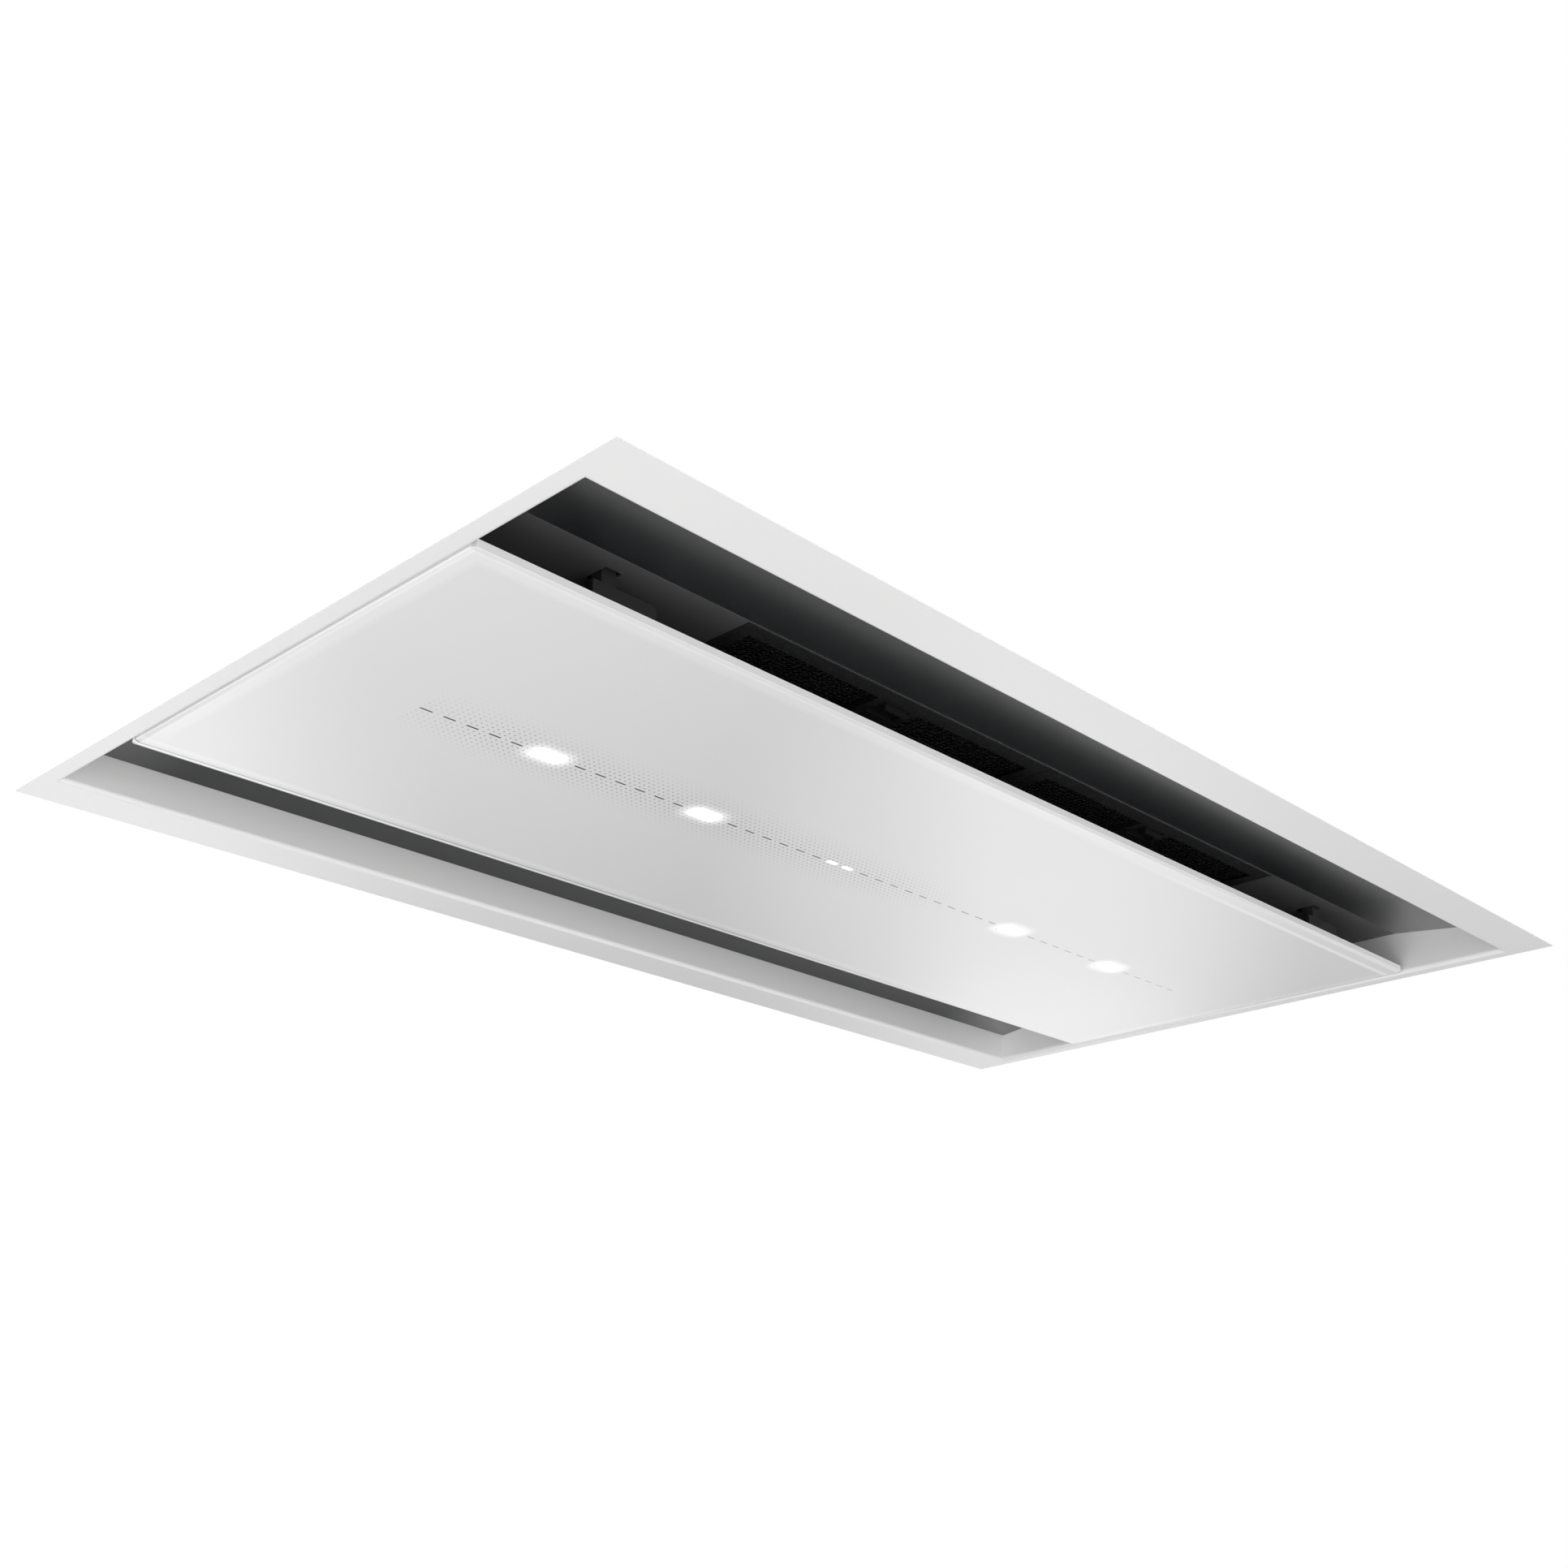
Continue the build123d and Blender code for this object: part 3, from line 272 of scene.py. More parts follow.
def addPrint(tree, x, y):
    pitch, spacing = panelPrint["pitch"], panelPrint["spacing"]
    across = calc(tree, "ABSOLUTE", y)
    printX = calc(tree, "SUBTRACT", x, panelPrint["shift"])
    fromDot = reachOf(tree, offGrid(tree, printX, pitch), offGrid(tree, y, pitch))
    dot = step(tree, fromDot, panelPrint["dot"], panelPrint["dotSoft"])

    # in the middle row there is one dot between two dashes
    lone = calc(tree, "LESS_THAN", offGrid(tree, printX, spacing), pitch / 2)
    allowed = calc(tree, "MAXIMUM", calc(tree, "GREATER_THAN", across, pitch / 2), lone)
    dot = combine(tree, "MULTIPLY", dot, allowed, ramp(tree, across, *panelPrint["acrossFade"]),
                  ramp(tree, x, *panelPrint["rightFade"]), ramp(tree, x, *panelPrint["leftFade"]),
                  calc(tree, "LESS_THAN", across, panelPrint["rows"]), panelPrint["dotInk"])

    dashX = offGrid(tree, calc(tree, "SUBTRACT", printX, spacing / 2), spacing)
    dash = combine(tree, "MULTIPLY", step(tree, dashX, panelPrint["dash"], panelPrint["dashSoft"]),
                   step(tree, across, panelPrint["dashHalf"], panelPrint["dashHalfSoft"]),
                   ramp(tree, x, *panelPrint["dashFade"]))
    inside = calc(tree, "LESS_THAN", calc(tree, "ABSOLUTE", x), panelPrint["end"])
    return calc(tree, "MULTIPLY", calc(tree, "MAXIMUM", dot, dash), inside)


# stripes that follow the edges, in millimetres: (inner edge, outer edge, softness) and a strength
glassPaint = {"field": (0.72, 0.72, 0.72), "rim": (0.95, 0.95, 0.94), "slope": (0.63, 0.63, 0.63),
              # this dark colour is both the print's ink and the colour of painted shade lines
              "inkAndPaintedShade": (0.02, 0.02, 0.022),
              "bands": ((0.25, 0.6, 0.2, 0.6), (2.8, 3.4, 0.8, 0.12), (10.2, 10.8, 1.0, 0.1)),
              "wideBand": (2.6, 8.0, 2.6), "wideAmount": 0.24, "wideFade": (137.0, 112.0),
              "endDark": (2.4, 3.4, 0.5), "endDarkFade": (60.0, -60.0, 0.0, 0.4)}
# stripes along single sides that fade along them: painted highlights in the rim colour and a
# painted shade line in the dark colour
sideStripes = (
    {"side": "near", "stripe": (10.5, 12.5, 1.8), "fade": (0.0, 400.0, 0.0, 1.0), "tint": "rim"},
    {"side": "far", "stripe": (10.8, 12.6, 2.4), "fade": (350.0, 0.0, 0.0, 0.24), "tint": "rim"},
    {"side": "far", "stripe": (3.2, 4.4, 0.3), "fade": (350.0, 0.0, 0.0, 0.5), "tint": "rim"},
    {"side": "far", "stripe": (5.1, 5.9, 0.5), "fade": (300.0, 0.0, 0.0, 0.5), "tint": "inkAndPaintedShade"})
glassEdge = {"bevel": 2.6, "bevelSoft": 0.4, "endSlope": 0.4, "coat": 0.35, "coatSoft": 0.1,
             "inkCoat": 0.85, "lit": 0.25, "litGlow": 0.15}
glassGlow = {"reach": 18.0, "core": 4.0, "bar": 6.0, "strength": 0.38}
glassLook = {"Roughness": 0.3, "Specular IOR Level": 0.3, "Coat Weight": 1.0,
             "Coat Roughness": 0.03, "Coat IOR": 1.52, "Emission Color": (1.0, 1.0, 1.0)}


def stripe(tree, distance, inner, outer, soft, amount):
    return combine(tree, "MULTIPLY", ramp(tree, distance, outer + soft, outer),
                   ramp(tree, distance, inner - soft, inner), amount)


def makePanelGlass():
    material, tree, shader, place = startMaterial("white_panel_glass", glassLook)
    x, y = flatPlace(tree, place)
    printed = addPrint(tree, x, y)
    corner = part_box("glass_panel")[1]
    halfX, halfY = corner.x / mm, corner.y / mm
    fromEnds = calc(tree, "SUBTRACT", halfX, calc(tree, "ABSOLUTE", x))
    fromSides = calc(tree, "SUBTRACT", halfY, calc(tree, "ABSOLUTE", y))
    fromEdge = calc(tree, "MINIMUM", fromEnds, fromSides)
    sides = {"near": calc(tree, "ADD", y, halfY), "far": calc(tree, "SUBTRACT", halfY, y)}

    # lighter stripes along the edges: the outermost is where the paint stops short of the edge, the
    # others are painted highlights
    paint = glassPaint["field"]
    wide = calc(tree, "MULTIPLY", ramp(tree, y, *glassPaint["wideFade"]), glassPaint["wideAmount"])
    for band in (*glassPaint["bands"], (*glassPaint["wideBand"], wide)):
        paint = mixColour(tree, stripe(tree, fromEdge, *band), paint, glassPaint["rim"])

    # bevels painted darker, painted shade, darkest along the near edge
    bevel = (glassEdge["bevel"], glassEdge["bevel"] - glassEdge["bevelSoft"])
    slopes = calc(tree, "MAXIMUM", ramp(tree, fromEnds, *bevel, 0.0, glassEdge["endSlope"]),
                  ramp(tree, sides["near"], *bevel))
    paint = mixColour(tree, slopes, paint, glassPaint["slope"])

    for each in sideStripes:
        amount = ramp(tree, x, *each["fade"])
        band = stripe(tree, sides[each["side"]], *each["stripe"], amount)
        paint = mixColour(tree, band, paint, glassPaint[each["tint"]])
    # a dark line along the right end, painted shade
    amount = ramp(tree, y, *glassPaint["endDarkFade"])
    band = stripe(tree, calc(tree, "SUBTRACT", halfX, x), *glassPaint["endDark"], amount)
    paint = mixColour(tree, band, paint, glassPaint["inkAndPaintedShade"])
    feed(tree, mixColour(tree, printed, paint, glassPaint["inkAndPaintedShade"]), shader, "Base Color")

    coatStart = glassEdge["bevel"] - glassEdge["coatSoft"]
    coat = ramp(tree, fromEdge, coatStart, glassEdge["bevel"], glassEdge["coat"], 1.0)
    blendAmount = calc(tree, "SUBTRACT", 1.0, calc(tree, "MULTIPLY", printed, glassEdge["inkCoat"]))
    feed(tree, calc(tree, "MULTIPLY", coat, blendAmount), shader, "Coat Weight")

    # light that spreads in the glass round the four lamps, and a glow along the whole cut edge,
    # which is a painted highlight
    spots = []
    for name in lampNames:
        first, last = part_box(name)
        along = beyond(tree, apart(tree, x, (first.x + last.x) / 2 / mm), glassGlow["bar"])
        spot = ramp(tree, reachOf(tree, along, y), glassGlow["reach"], glassGlow["core"])
        spots.append(calc(tree, "MULTIPLY", spot, spot))
    glow = calc(tree, "MULTIPLY", combine(tree, "ADD", *spots), glassGlow["strength"])
    cut = calc(tree, "LESS_THAN", fromEdge, glassEdge["lit"])
    bright = calc(tree, "MULTIPLY", cut, glassEdge["litGlow"])
    feed(tree, calc(tree, "ADD", glow, bright), shader, "Emission Strength")
    return material


lampGlass = {"rim": (0.72, 0.72, 0.72), "lit": (0.95, 0.95, 0.94), "halfX": 12.0, "halfY": 7.5,
             "corner": 6.0, "shift": 0.4, "rimWide": 0.9, "rimSoft": 0.3, "rimGlow": 0.25,
             "cells": 900.0, "shine": (0.0, 0.8, 1.5, 1.1), "bump": (0.3, 0.1)}


def makeLampDiffuser():
    look = {"Roughness": 0.5, "Emission Color": (1.0, 0.995, 0.98)}
    material, tree, shader, place = startMaterial("frosted_lamp", look)
    x, y = flatPlace(tree, place)
    corner = lampGlass["corner"]

    # each lamp shines inside a narrow frosted rim
    middles = []
    for name in (*lampNames, "signal_lights"):
        low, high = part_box(name)
        middles.append(apart(tree, x, (low.x + high.x) / 2 / mm + lampGlass["shift"]))
    along = beyond(tree, combine(tree, "MINIMUM", *middles), lampGlass["halfX"] - corner)
    across = beyond(tree, calc(tree, "ABSOLUTE", y), lampGlass["halfY"] - corner)
    reach = reachOf(tree, along, across)
    lit = step(tree, reach, corner - lampGlass["rimWide"], lampGlass["rimSoft"])
    feed(tree, mixColour(tree, lit, lampGlass["rim"], lampGlass["lit"]), shader, "Base Color")
    frost = addNode(tree, "ShaderNodeTexVoronoi", {"Vector": place, "Scale": lampGlass["cells"]})
    shine = ramp(tree, frost.outputs["Distance"], *lampGlass["shine"])
    glow = ramp(tree, lit, 0.0, 1.0, lampGlass["rimGlow"], shine, "LINEAR")
    feed(tree, glow, shader, "Emission Strength")
    addBump(tree, shader, frost.outputs["Distance"], *lampGlass["bump"])
    return material


zinc = {"tint": (0.60, 0.615, 0.63), "dark": 0.8, "spangle": 110.0, "flakeShare": 0.55,
        "cloud": (9.0, 5.0), "toneSpan": (0.2, 0.8), "rough": (0.46, 0.33),
        "grain": (260.0, 3.0), "bump": (0.08, 0.1)}


def makeZincSheet():
    material, tree, shader, place = startMaterial("galvanised_sheet", {"Metallic": 1.0})
    spangle = addNode(tree, "ShaderNodeTexVoronoi", {"Vector": place, "Scale": zinc["spangle"]})
    flake = addNode(tree, "ShaderNodeSeparateColor", {"Color": spangle.outputs["Color"]}).outputs[0]
    cloud = noise(tree, place, *zinc["cloud"])
    tone = calc(tree, "ADD", calc(tree, "MULTIPLY", flake, zinc["flakeShare"]),
                calc(tree, "MULTIPLY", cloud, 1.0 - zinc["flakeShare"]))
    dark = tuple(zinc["dark"] * part for part in zinc["tint"])
    feed(tree, mixColour(tree, tone, dark, zinc["tint"]), shader, "Base Color")
    feed(tree, ramp(tree, tone, *zinc["toneSpan"], *zinc["rough"]), shader, "Roughness")
    addBump(tree, shader, noise(tree, place, *zinc["grain"]), *zinc["bump"])
    return material


aluminium = {"stretch": (900.0, 40.0, 900.0), "streak": (1.0, 4.0), "rough": (0.28, 0.42),
             "colours": ((0.62, 0.63, 0.64), (0.78, 0.79, 0.80))}


def makeDrawnAluminium():
    material, tree, shader, place = startMaterial("drawn_aluminium", {"Metallic": 1.0})
    stretched = addNode(tree, "ShaderNodeMapping", {"Vector": place, "Scale": aluminium["stretch"]})
    streak = noise(tree, stretched.outputs["Vector"], *aluminium["streak"])
    feed(tree, mixColour(tree, streak, *aluminium["colours"]), shader, "Base Color")
    feed(tree, ramp(tree, streak, *noiseSpan, *aluminium["rough"]), shader, "Roughness")
    return material


circuit = {"Scale": 90.0, "Mortar Size": 0.03, "Color1": (0.02, 0.13, 0.06, 1.0),
           "Color2": (0.015, 0.10, 0.05, 1.0), "Mortar": (0.06, 0.26, 0.13, 1.0)}


def makeCircuitBoard():
    material, tree, shader, place = startMaterial("circuit_board", {"Roughness": 0.45})
    tracks = addNode(tree, "ShaderNodeTexBrick", {"Vector": place, **circuit})
    feed(tree, tracks.outputs["Color"], shader, "Base Color")
    return material


blackSheet = makeSheetBlack()
padBlack = makeGrained("black_expanded_metal")
zincScrew = makeGrained("zinc_plated_steel")
finishes = {"white_paint": makeGrained("satin_white_powder"),
            "black_paint": makeGrained("black_bracket_paint"),
            "white_glass": makePanelGlass(),
            "lamp_lens": makeLampDiffuser(),
            "filter_metal": makeGrained("black_filter_metal"),
            "galvanised_steel": makeZincSheet(),
            "bright_steel": zincScrew,
            "black_plastic": makeGrained("moulded_black_plastic"),
            "motor_paint": makeGrained("dark_motor_paint"),
            "can_aluminium": makeDrawnAluminium(),
            "circuit_green": makeCircuitBoard()}
slotOf = {part["node"]: part["material_slot"] for part in frame["record"]["subparts"]}
for name, node in nodes.items():
    node.data.materials.clear()
    node.data.materials.append(blackSheet if name == "intake_sheet" else finishes[slotOf[name]])
print("finishes on")


# repeated shapes: one geometry nodes tree each, turned into a plain mesh

def startGroup(name, inputs):
    tree = bpy.data.node_groups.new(name, "GeometryNodeTree")
    tree.interface.new_socket(name="Geometry", in_out="INPUT", socket_type="NodeSocketGeometry")
    ids = {}
    for kind, labels in inputs.items():
        for label in labels:
            kept = tree.interface.new_socket(name=label, in_out="INPUT", socket_type=kind)
            ids[label] = kept.identifier
    tree.interface.new_socket(name="Geometry", in_out="OUTPUT", socket_type="NodeSocketGeometry")
    return tree, ids, tree.nodes.new("NodeGroupInput").outputs, tree.nodes.new("NodeGroupOutput")


def finishGroup(tree, spread, material, end):
    real = addNode(tree, "GeometryNodeRealizeInstances", {"Geometry": spread.outputs[0]})
    painted = addNode(tree, "GeometryNodeSetMaterial", {
        "Geometry": real.outputs[0], "Material": material})
    tree.links.new(painted.outputs[0], end.inputs[0])


def runGroup(tree, ids, values, mesh, name):
    carrier = bpy.data.objects.new(name + "_carrier", mesh)
    scene.collection.objects.link(carrier)
    modifier = carrier.modifiers.new(tree.name, "NODES")
    modifier.node_group = tree
    for label, value in values.items():
        modifier[ids[label]] = value
    bpy.context.view_layer.update()
    graph = bpy.context.evaluated_depsgraph_get()
    made = bpy.data.meshes.new_from_object(carrier.evaluated_get(graph))
    bpy.data.objects.remove(carrier)
    made.name = name
    return made


def addPiece(name, mesh, body, slot, *replaced):
    piece = bpy.data.objects.new(name, mesh)
    scene.collection.objects.link(piece)
    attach(piece, body)
    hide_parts(*replaced)


def joinMeshes(name, meshes, material):
    shape = bmesh.new()
    for mesh in meshes:
        shape.from_mesh(mesh)
    whole = bpy.data.meshes.new(name)
    shape.to_mesh(whole)
    shape.free()
    whole.materials.append(material)
    return whole


# filter pads: two layers of expanded metal, fine below and coarse above, that leave the handle free

pad = {"layers": ({"cell": (4.0, 3.1), "strand": 0.4, "height": 1.2},
                  {"cell": (9.0, 5.8), "strand": 0.56, "height": 3.4}),
       "tilt": 0.25, "seed": 11, "handleHalf": 17.4, "handleEnd": 50.4}


def makeNetGroup():
    tree, ids, given, end = startGroup("expanded_metal", {
        "NodeSocketVector": ("Centre",),
        "NodeSocketInt": ("Columns", "Rows", "Seed"),
        "NodeSocketFloat": ("Length", "Width", "Cell Length", "Cell Width", "Strand", "Tilt",
                            "Gap Half", "Gap End"),
        "NodeSocketMaterial": ("Material",)})
    grid = addNode(tree, "GeometryNodeMeshGrid", {
        "Size X": given["Length"], "Size Y": given["Width"],
        "Vertices X": given["Columns"], "Vertices Y": given["Rows"]})
    moved = addNode(tree, "GeometryNodeSetPosition", {
        "Geometry": grid.outputs["Mesh"], "Offset": given["Centre"]})
    place = axesOf(tree, tree.nodes.new("GeometryNodeInputPosition").outputs[0])
    aside = apart(tree, place["X"], axesOf(tree, given["Centre"])["X"])
    inGap = calc(tree, "MULTIPLY", calc(tree, "LESS_THAN", aside, given["Gap Half"]),
                 calc(tree, "LESS_THAN", place["Y"], given["Gap End"]))
    kept = addNode(tree, "GeometryNodeDeleteGeometry", {
        "Geometry": moved.outputs[0], "Selection": inGap})

    # one cell is a kite of thin strand, each tilted a little its own way
    half = calc(tree, "MULTIPLY", given["Cell Width"], 0.5)
    outline = addNode(tree, "GeometryNodeCurvePrimitiveQuadrilateral", {
        "Width": given["Cell Length"], "Bottom Height": half, "Top Height": half}, mode="KITE")
    section = addNode(tree, "GeometryNodeCurvePrimitiveCircle", {
        "Resolution": 3, "Radius": given["Strand"]})
    ring = addNode(tree, "GeometryNodeCurveToMesh", {
        "Curve": outline.outputs[0], "Profile Curve": section.outputs[0]})
    lean = addNode(tree, "FunctionNodeRandomValue", {"Seed": given["Seed"]},
                   data_type="FLOAT_VECTOR")
    for name, sign in (("Min", -1.0), ("Max", 1.0)):
        tilt = calc(tree, "MULTIPLY", given["Tilt"], sign)
        reach = addNode(tree, "ShaderNodeCombineXYZ", {"X": tilt, "Y": tilt})
        feed(tree, reach.outputs[0], lean, name)
    spread = addNode(tree, "GeometryNodeInstanceOnPoints", {
        "Points": kept.outputs[0], "Instance": ring.outputs[0], "Rotation": lean.outputs[0]})
    finishGroup(tree, spread, given["Material"], end)
    return tree, ids


def addFilterPads():
    tree, ids = makeNetGroup()
    for side in ("left", "right"):
        low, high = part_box("filter_mesh_" + side)
        middle = (low + high) / 2
        nets = []
        for n, layer in enumerate(pad["layers"]):
            long, wide = (size * mm for size in layer["cell"])
            columns, rows = int((high.x - low.x) / long), int((high.y - low.y) / wide)
            values = {"Centre": (middle.x, middle.y, low.z + layer["height"] * mm),
                      "Length": (columns - 1) * long, "Width": (rows - 1) * wide,
                      "Columns": columns, "Rows": rows, "Cell Length": long, "Cell Width": wide,
                      "Strand": layer["strand"] * mm, "Tilt": pad["tilt"],
                      "Gap Half": pad["handleHalf"] * mm + long / 2,
                      "Gap End": low.y + pad["handleEnd"] * mm + wide / 2,
                      "Seed": pad["seed"] + n, "Material": padBlack}
            nets.append(runGroup(tree, ids, values, bpy.data.meshes.new("points"), "pad_layer"))
        name = "expanded_pad_" + side
        whole = joinMeshes(name, nets, padBlack)
        addPiece(name, whole, "hood", "filter_metal", "filter_mesh_" + side)


# cross-recess screws of the casing and the blower box: rings are (radius, height) in millimetres

screw = {"head": ((2.3, 2.2), (3.1, 1.75), (3.55, 1.0), (3.6, 0.0)), "shank": 1.5, "thread": 1.9,
         "pitch": 0.8, "threadStart": -0.2, "blank": 1.0, "length": 7.9, "tip": 0.4, "sides": 24,
         "armLong": 2.0, "armWide": 0.55, "deep": 1.3, "taper": 0.7}


def makeScrewMesh():
    shape = bmesh.new()
    sides, top = screw["sides"], screw["head"][0][1]

    def circle(radius, z):
        turns = [math.tau * n / sides for n in range(sides)]
        spots = [(radius * math.cos(turn) * mm, radius * math.sin(turn) * mm, z * mm)
                 for turn in turns]
        return [shape.verts.new(spot) for spot in spots]

    def skin(first, second):
        for n in range(len(first)):
            m = (n + 1) % len(first)
            shape.faces.new((first[n], second[n], second[m], first[m]))

    rings = [circle(radius, z) for radius, z in screw["head"]]
    rings.append(circle(screw["shank"], 0.0))
    z = screw["threadStart"]
    for n in range(int((screw["length"] - screw["blank"]) / screw["pitch"])):
        rings += [circle(screw["shank"], z), circle(screw["thread"], z - screw["pitch"] / 2)]
        z -= screw["pitch"]
    rings += [circle(screw["shank"], z), circle(screw["tip"], -screw["length"])]
    for first, second in zip(rings, rings[1:]):
        skin(first, second)
    shape.faces.new(rings[-1][::-1])

    # plus-shaped recess in the flat of the head
    long, wide = screw["armLong"], screw["armWide"]
    corner = ((long, wide), (wide, wide), (wide, long))
    outline = []
    for quarter in range(4):
        c, s = round(math.cos(quarter * math.pi / 2)), round(math.sin(quarter * math.pi / 2))
        outline += [(c * x - s * y, s * x + c * y) for x, y in corner]
    rim, seat = ([shape.verts.new((x * share * mm, y * share * mm, up * mm)) for x, y in outline]
                 for share, up in ((1.0, top), (screw["taper"], top - screw["deep"])))
    skin(rim, seat)
    shape.faces.new(seat)
    edges = []
    for loop in (rings[0], rim):
        for pair in zip(loop, loop[1:] + loop[:1]):
            edges.append(shape.edges.get(pair) or shape.edges.new(pair))
    bmesh.ops.triangle_fill(shape, edges=edges, use_beauty=True)
    bmesh.ops.recalc_face_normals(shape, faces=shape.faces)
    mesh = bpy.data.meshes.new("cross_screw")
    shape.to_mesh(mesh)
    shape.free()
    return mesh


def screwPlaces(name):      # the middle of each separate screw of a CAD node, on its bearing plane
    headHeight = screw["head"][0][1] * mm
    shape = bmesh.new()
    shape.from_mesh(nodes[name].data)
    bmesh.ops.remove_doubles(shape, verts=shape.verts, dist=0.01 * mm)
    left = set(shape.verts)
    places = []
    while left:
        island, front = set(), [left.pop()]
        while front:
            vert = front.pop()
            island.add(vert)
            others = {link.other_vert(vert) for link in vert.link_edges} & left
            left -= others
            front += others
        xs, ys, zs = zip(*(vert.co for vert in island))
        places.append(((min(xs) + max(xs)) / 2, (min(ys) + max(ys)) / 2, max(zs) - headHeight))
    shape.free()
    return sorted(places)


def makeScrewGroup():
    tree, ids, given, end = startGroup("screw_row", {
        "NodeSocketObject": ("Screw",), "NodeSocketInt": ("Seed",),
        "NodeSocketMaterial": ("Material",)})
    source = addNode(tree, "GeometryNodeObjectInfo", {"Object": given["Screw"]})
    turn = addNode(tree, "FunctionNodeRandomValue", {"Seed": given["Seed"]}, data_type="FLOAT")
    for socket in turn.inputs:
        if socket.name == "Max" and socket.type == "VALUE":
            socket.default_value = math.tau
    angle = next(socket for socket in turn.outputs if socket.type == "VALUE" and socket.enabled)
    spin = addNode(tree, "ShaderNodeCombineXYZ", {"Z": angle})
    spread = addNode(tree, "GeometryNodeInstanceOnPoints", {
        "Points": given["Geometry"], "Instance": source.outputs["Geometry"],
        "Rotation": spin.outputs[0]})
    finishGroup(tree, spread, given["Material"], end)
    return tree, ids


def addScrews():
    tree, ids = makeScrewGroup()
    pattern = bpy.data.objects.new("screw_pattern", makeScrewMesh())
    scene.collection.objects.link(pattern)
    for n, name in enumerate(("casing_screws", "blower_box_screws")):
        points = bpy.data.meshes.new("points")
        points.from_pydata(screwPlaces(name), [], [])
        values = {"Screw": pattern, "Seed": n, "Material": zincScrew}
        mesh = runGroup(tree, ids, values, points, "cross_" + name)
        addPiece("cross_" + name, mesh, "hood", "bright_steel", name)
        print(name, len(points.vertices))
    bpy.data.objects.remove(pattern)


addFilterPads()
addScrews()
print("filters and screws made")


# camera, as the photograph was taken: angles in degrees; focal, middle and side in pixels

photoView = {"place": (-0.85143, -0.69453, -0.39896), "azimuth": 45.015, "rise": 22.97,
             "focal": 2252.23, "middle": 858.27, "side": 1932.0, "sensor": 36.0,
             "clip": (0.01, 60.0)}


def pointing(azimuth, rise):
    turn, lift = math.radians(azimuth), math.radians(rise)
    level = math.cos(lift)
    return Vector((math.sin(turn) * level, math.cos(turn) * level, math.sin(lift)))


def turnTowards(thing, ahead):
    thing.rotation_mode = "QUATERNION"
    thing.rotation_quaternion = ahead.to_track_quat("-Z", "Y")


def addCamera():
    data = bpy.data.cameras.new("photo_camera")
    camera = bpy.data.objects.new("photo_camera", data)
    scene.collection.objects.link(camera)
    camera.location = photoView["place"]
    turnTowards(camera, pointing(photoView["azimuth"], photoView["rise"]))
    data.sensor_width = photoView["sensor"]
    data.lens = photoView["focal"] / photoView["side"] * data.sensor_width
    data.shift_x = (photoView["side"] / 2 - photoView["middle"]) / photoView["side"]
    data.clip_start, data.clip_end = photoView["clip"]
    scene.camera = camera


# stage: a white ceiling that shows from below only, a pale floor, soft light

ceiling = {"reach": 6.0, "edge": 0.4 * mm, "height": 0.6 * mm}
floor = {"height": -2.1, "reach": 2.6, "colour": (0.86, 0.86, 0.86), "rough": 0.8,
         "fade": (0.9, 2.5)}


def addStage(name, points, faces, material):
    mesh = bpy.data.meshes.new(name)
    mesh.from_pydata(points, [], faces)
    mesh.materials.append(material)
    board = bpy.data.objects.new(name, mesh)
    scene.collection.objects.link(board)


def addCeiling():
    material = bpy.data.materials.new("ceiling_white")
    material.use_nodes = True
    tree = material.node_tree
    tree.nodes.clear()
    path = addNode(tree, "ShaderNodeLightPath").outputs
    behind = addNode(tree, "ShaderNodeNewGeometry").outputs["Backfacing"]
    white = addNode(tree, "ShaderNodeEmission", {"Color": fullWhite, "Strength": 1.0})
    clear = addNode(tree, "ShaderNodeBsdfTransparent")
    rays = [path[f"Is {kind} Ray"] for kind in ("Camera", "Glossy", "Transmission")]
    seen = combine(tree, "MAXIMUM", *rays)
    seen = calc(tree, "MULTIPLY", seen, calc(tree, "SUBTRACT", 1.0, behind))
    mix = addNode(tree, "ShaderNodeMixShader", {0: seen, 1: clear.outputs[0], 2: white.outputs[0]})
    addNode(tree, "ShaderNodeOutputMaterial", {"Surface": mix.outputs[0]})

    hole = (cadHigh.x - ceiling["edge"], cadHigh.y - ceiling["edge"])
    outside = (ceiling["reach"], ceiling["reach"])
    points = [(x * reachX, y * reachY, ceiling["height"])
              for reachX, reachY in (hole, outside) for x, y in corners]
    faces = [(n + 4, n, (n + 1) % 4, (n + 1) % 4 + 4) for n in range(4)]
    addStage("ceiling_board", points, faces, material)


def addFloor():
    look = {"Roughness": floor["rough"], "Base Color": floor["colour"],
            "Emission Color": (1.0, 1.0, 1.0)}
    material, tree, shader, place = startMaterial("pale_floor", look)
    axes = axesOf(tree, place)
    away = ramp(tree, reachOf(tree, axes["X"], axes["Y"]), *floor["fade"])
    seen = addNode(tree, "ShaderNodeLightPath").outputs["Is Camera Ray"]
    feed(tree, calc(tree, "MULTIPLY", away, seen), shader, "Emission Strength")
    points = [(x * floor["reach"], y * floor["reach"], floor["height"]) for x, y in corners]
    addStage("floor", points, [(0, 1, 2, 3)], material)


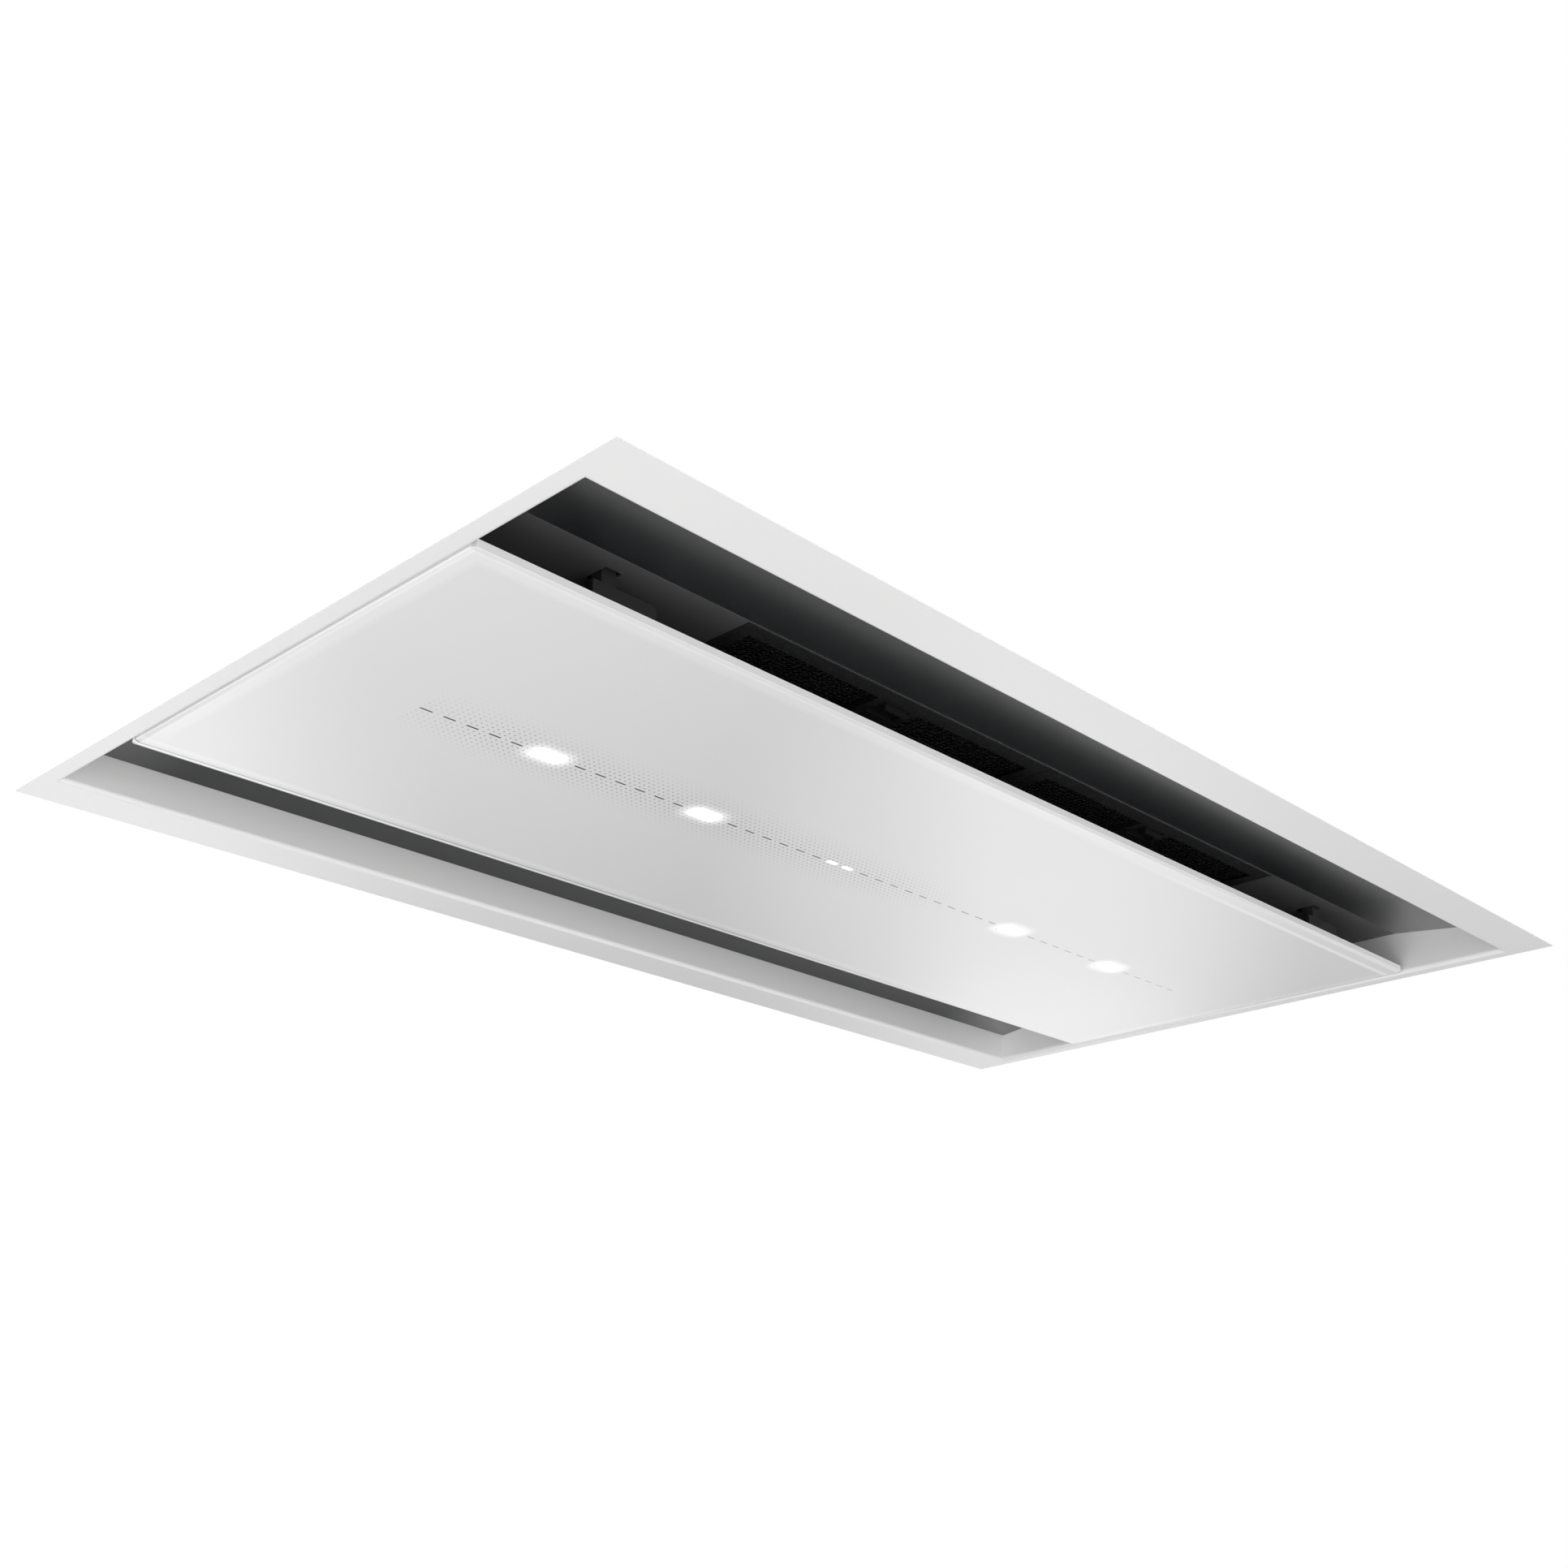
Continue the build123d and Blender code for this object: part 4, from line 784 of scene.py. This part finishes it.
# soft fields of light round the object: azimuth, rise, outer and inner radius in degrees,
# and a brightness
sky = {"level": 0.42,
       "fields": ((41.6, -21.4, 12.9, 8.2, -0.4), (54.9, -18.5, 9.9, 0.3, 0.79),
                  (27.5, -17.4, 22.7, 9.1, 0.33), (56.3, -10.8, 7.4, 3.4, 0.27),
                  (25.1, -18.0, 12.1, 1.3, 0.7), (60.0, -55.0, 24.0, 12.0, 1.1),
                  (87.0, -36.0, 20.0, 8.0, 0.9))}


def addSky():
    world = bpy.data.worlds.new("studio_light")
    scene.world = world
    world.use_nodes = True
    tree = world.node_tree
    tree.nodes.clear()
    direction = addNode(tree, "ShaderNodeTexCoord").outputs["Generated"]
    level = sky["level"]
    for azimuth, rise, outer, inner, amount in sky["fields"]:
        facing = addNode(tree, "ShaderNodeVectorMath", {0: direction, 1: pointing(azimuth, rise)},
                         operation="DOT_PRODUCT").outputs["Value"]
        limits = [math.cos(math.radians(angle)) for angle in (outer, inner)]
        level = calc(tree, "ADD", level, ramp(tree, facing, *limits, 0.0, amount))
    light = addNode(tree, "ShaderNodeBackground", {"Color": fullWhite, "Strength": level})
    white = addNode(tree, "ShaderNodeBackground", {"Color": fullWhite, "Strength": 1.0})
    seen = addNode(tree, "ShaderNodeLightPath").outputs["Is Camera Ray"]
    mix = addNode(tree, "ShaderNodeMixShader", {0: seen, 1: light.outputs[0], 2: white.outputs[0]})
    addNode(tree, "ShaderNodeOutputWorld", {"Surface": mix.outputs[0]})


lamps = {"left": {"place": (-1.8, -0.2, -0.85), "size": 1.2, "power": 16.5},
         "front": {"place": (-0.5, -2.2, -0.8), "size": 1.2, "power": 19.5},
         "low": {"place": (-0.2, -1.1, -1.7), "size": 1.0, "power": 7.6},
         "above": {"place": (-1.0, -1.4, 2.2), "size": 2.0, "power": 34.0}}
lampTarget = Vector((0.0, 0.0, 0.1))


def addLamps():
    for name, lamp in lamps.items():
        data = bpy.data.lights.new(name, "AREA")
        data.shape = "SQUARE"
        data.size = lamp["size"]
        data.energy = lamp["power"]
        light = bpy.data.objects.new(name, data)
        scene.collection.objects.link(light)
        light.location = lamp["place"]
        turnTowards(light, lampTarget - light.location)


scene.view_settings.view_transform = "Standard"
addCamera()
addCeiling()
addFloor()
addSky()
addLamps()
print("stage and camera ready")
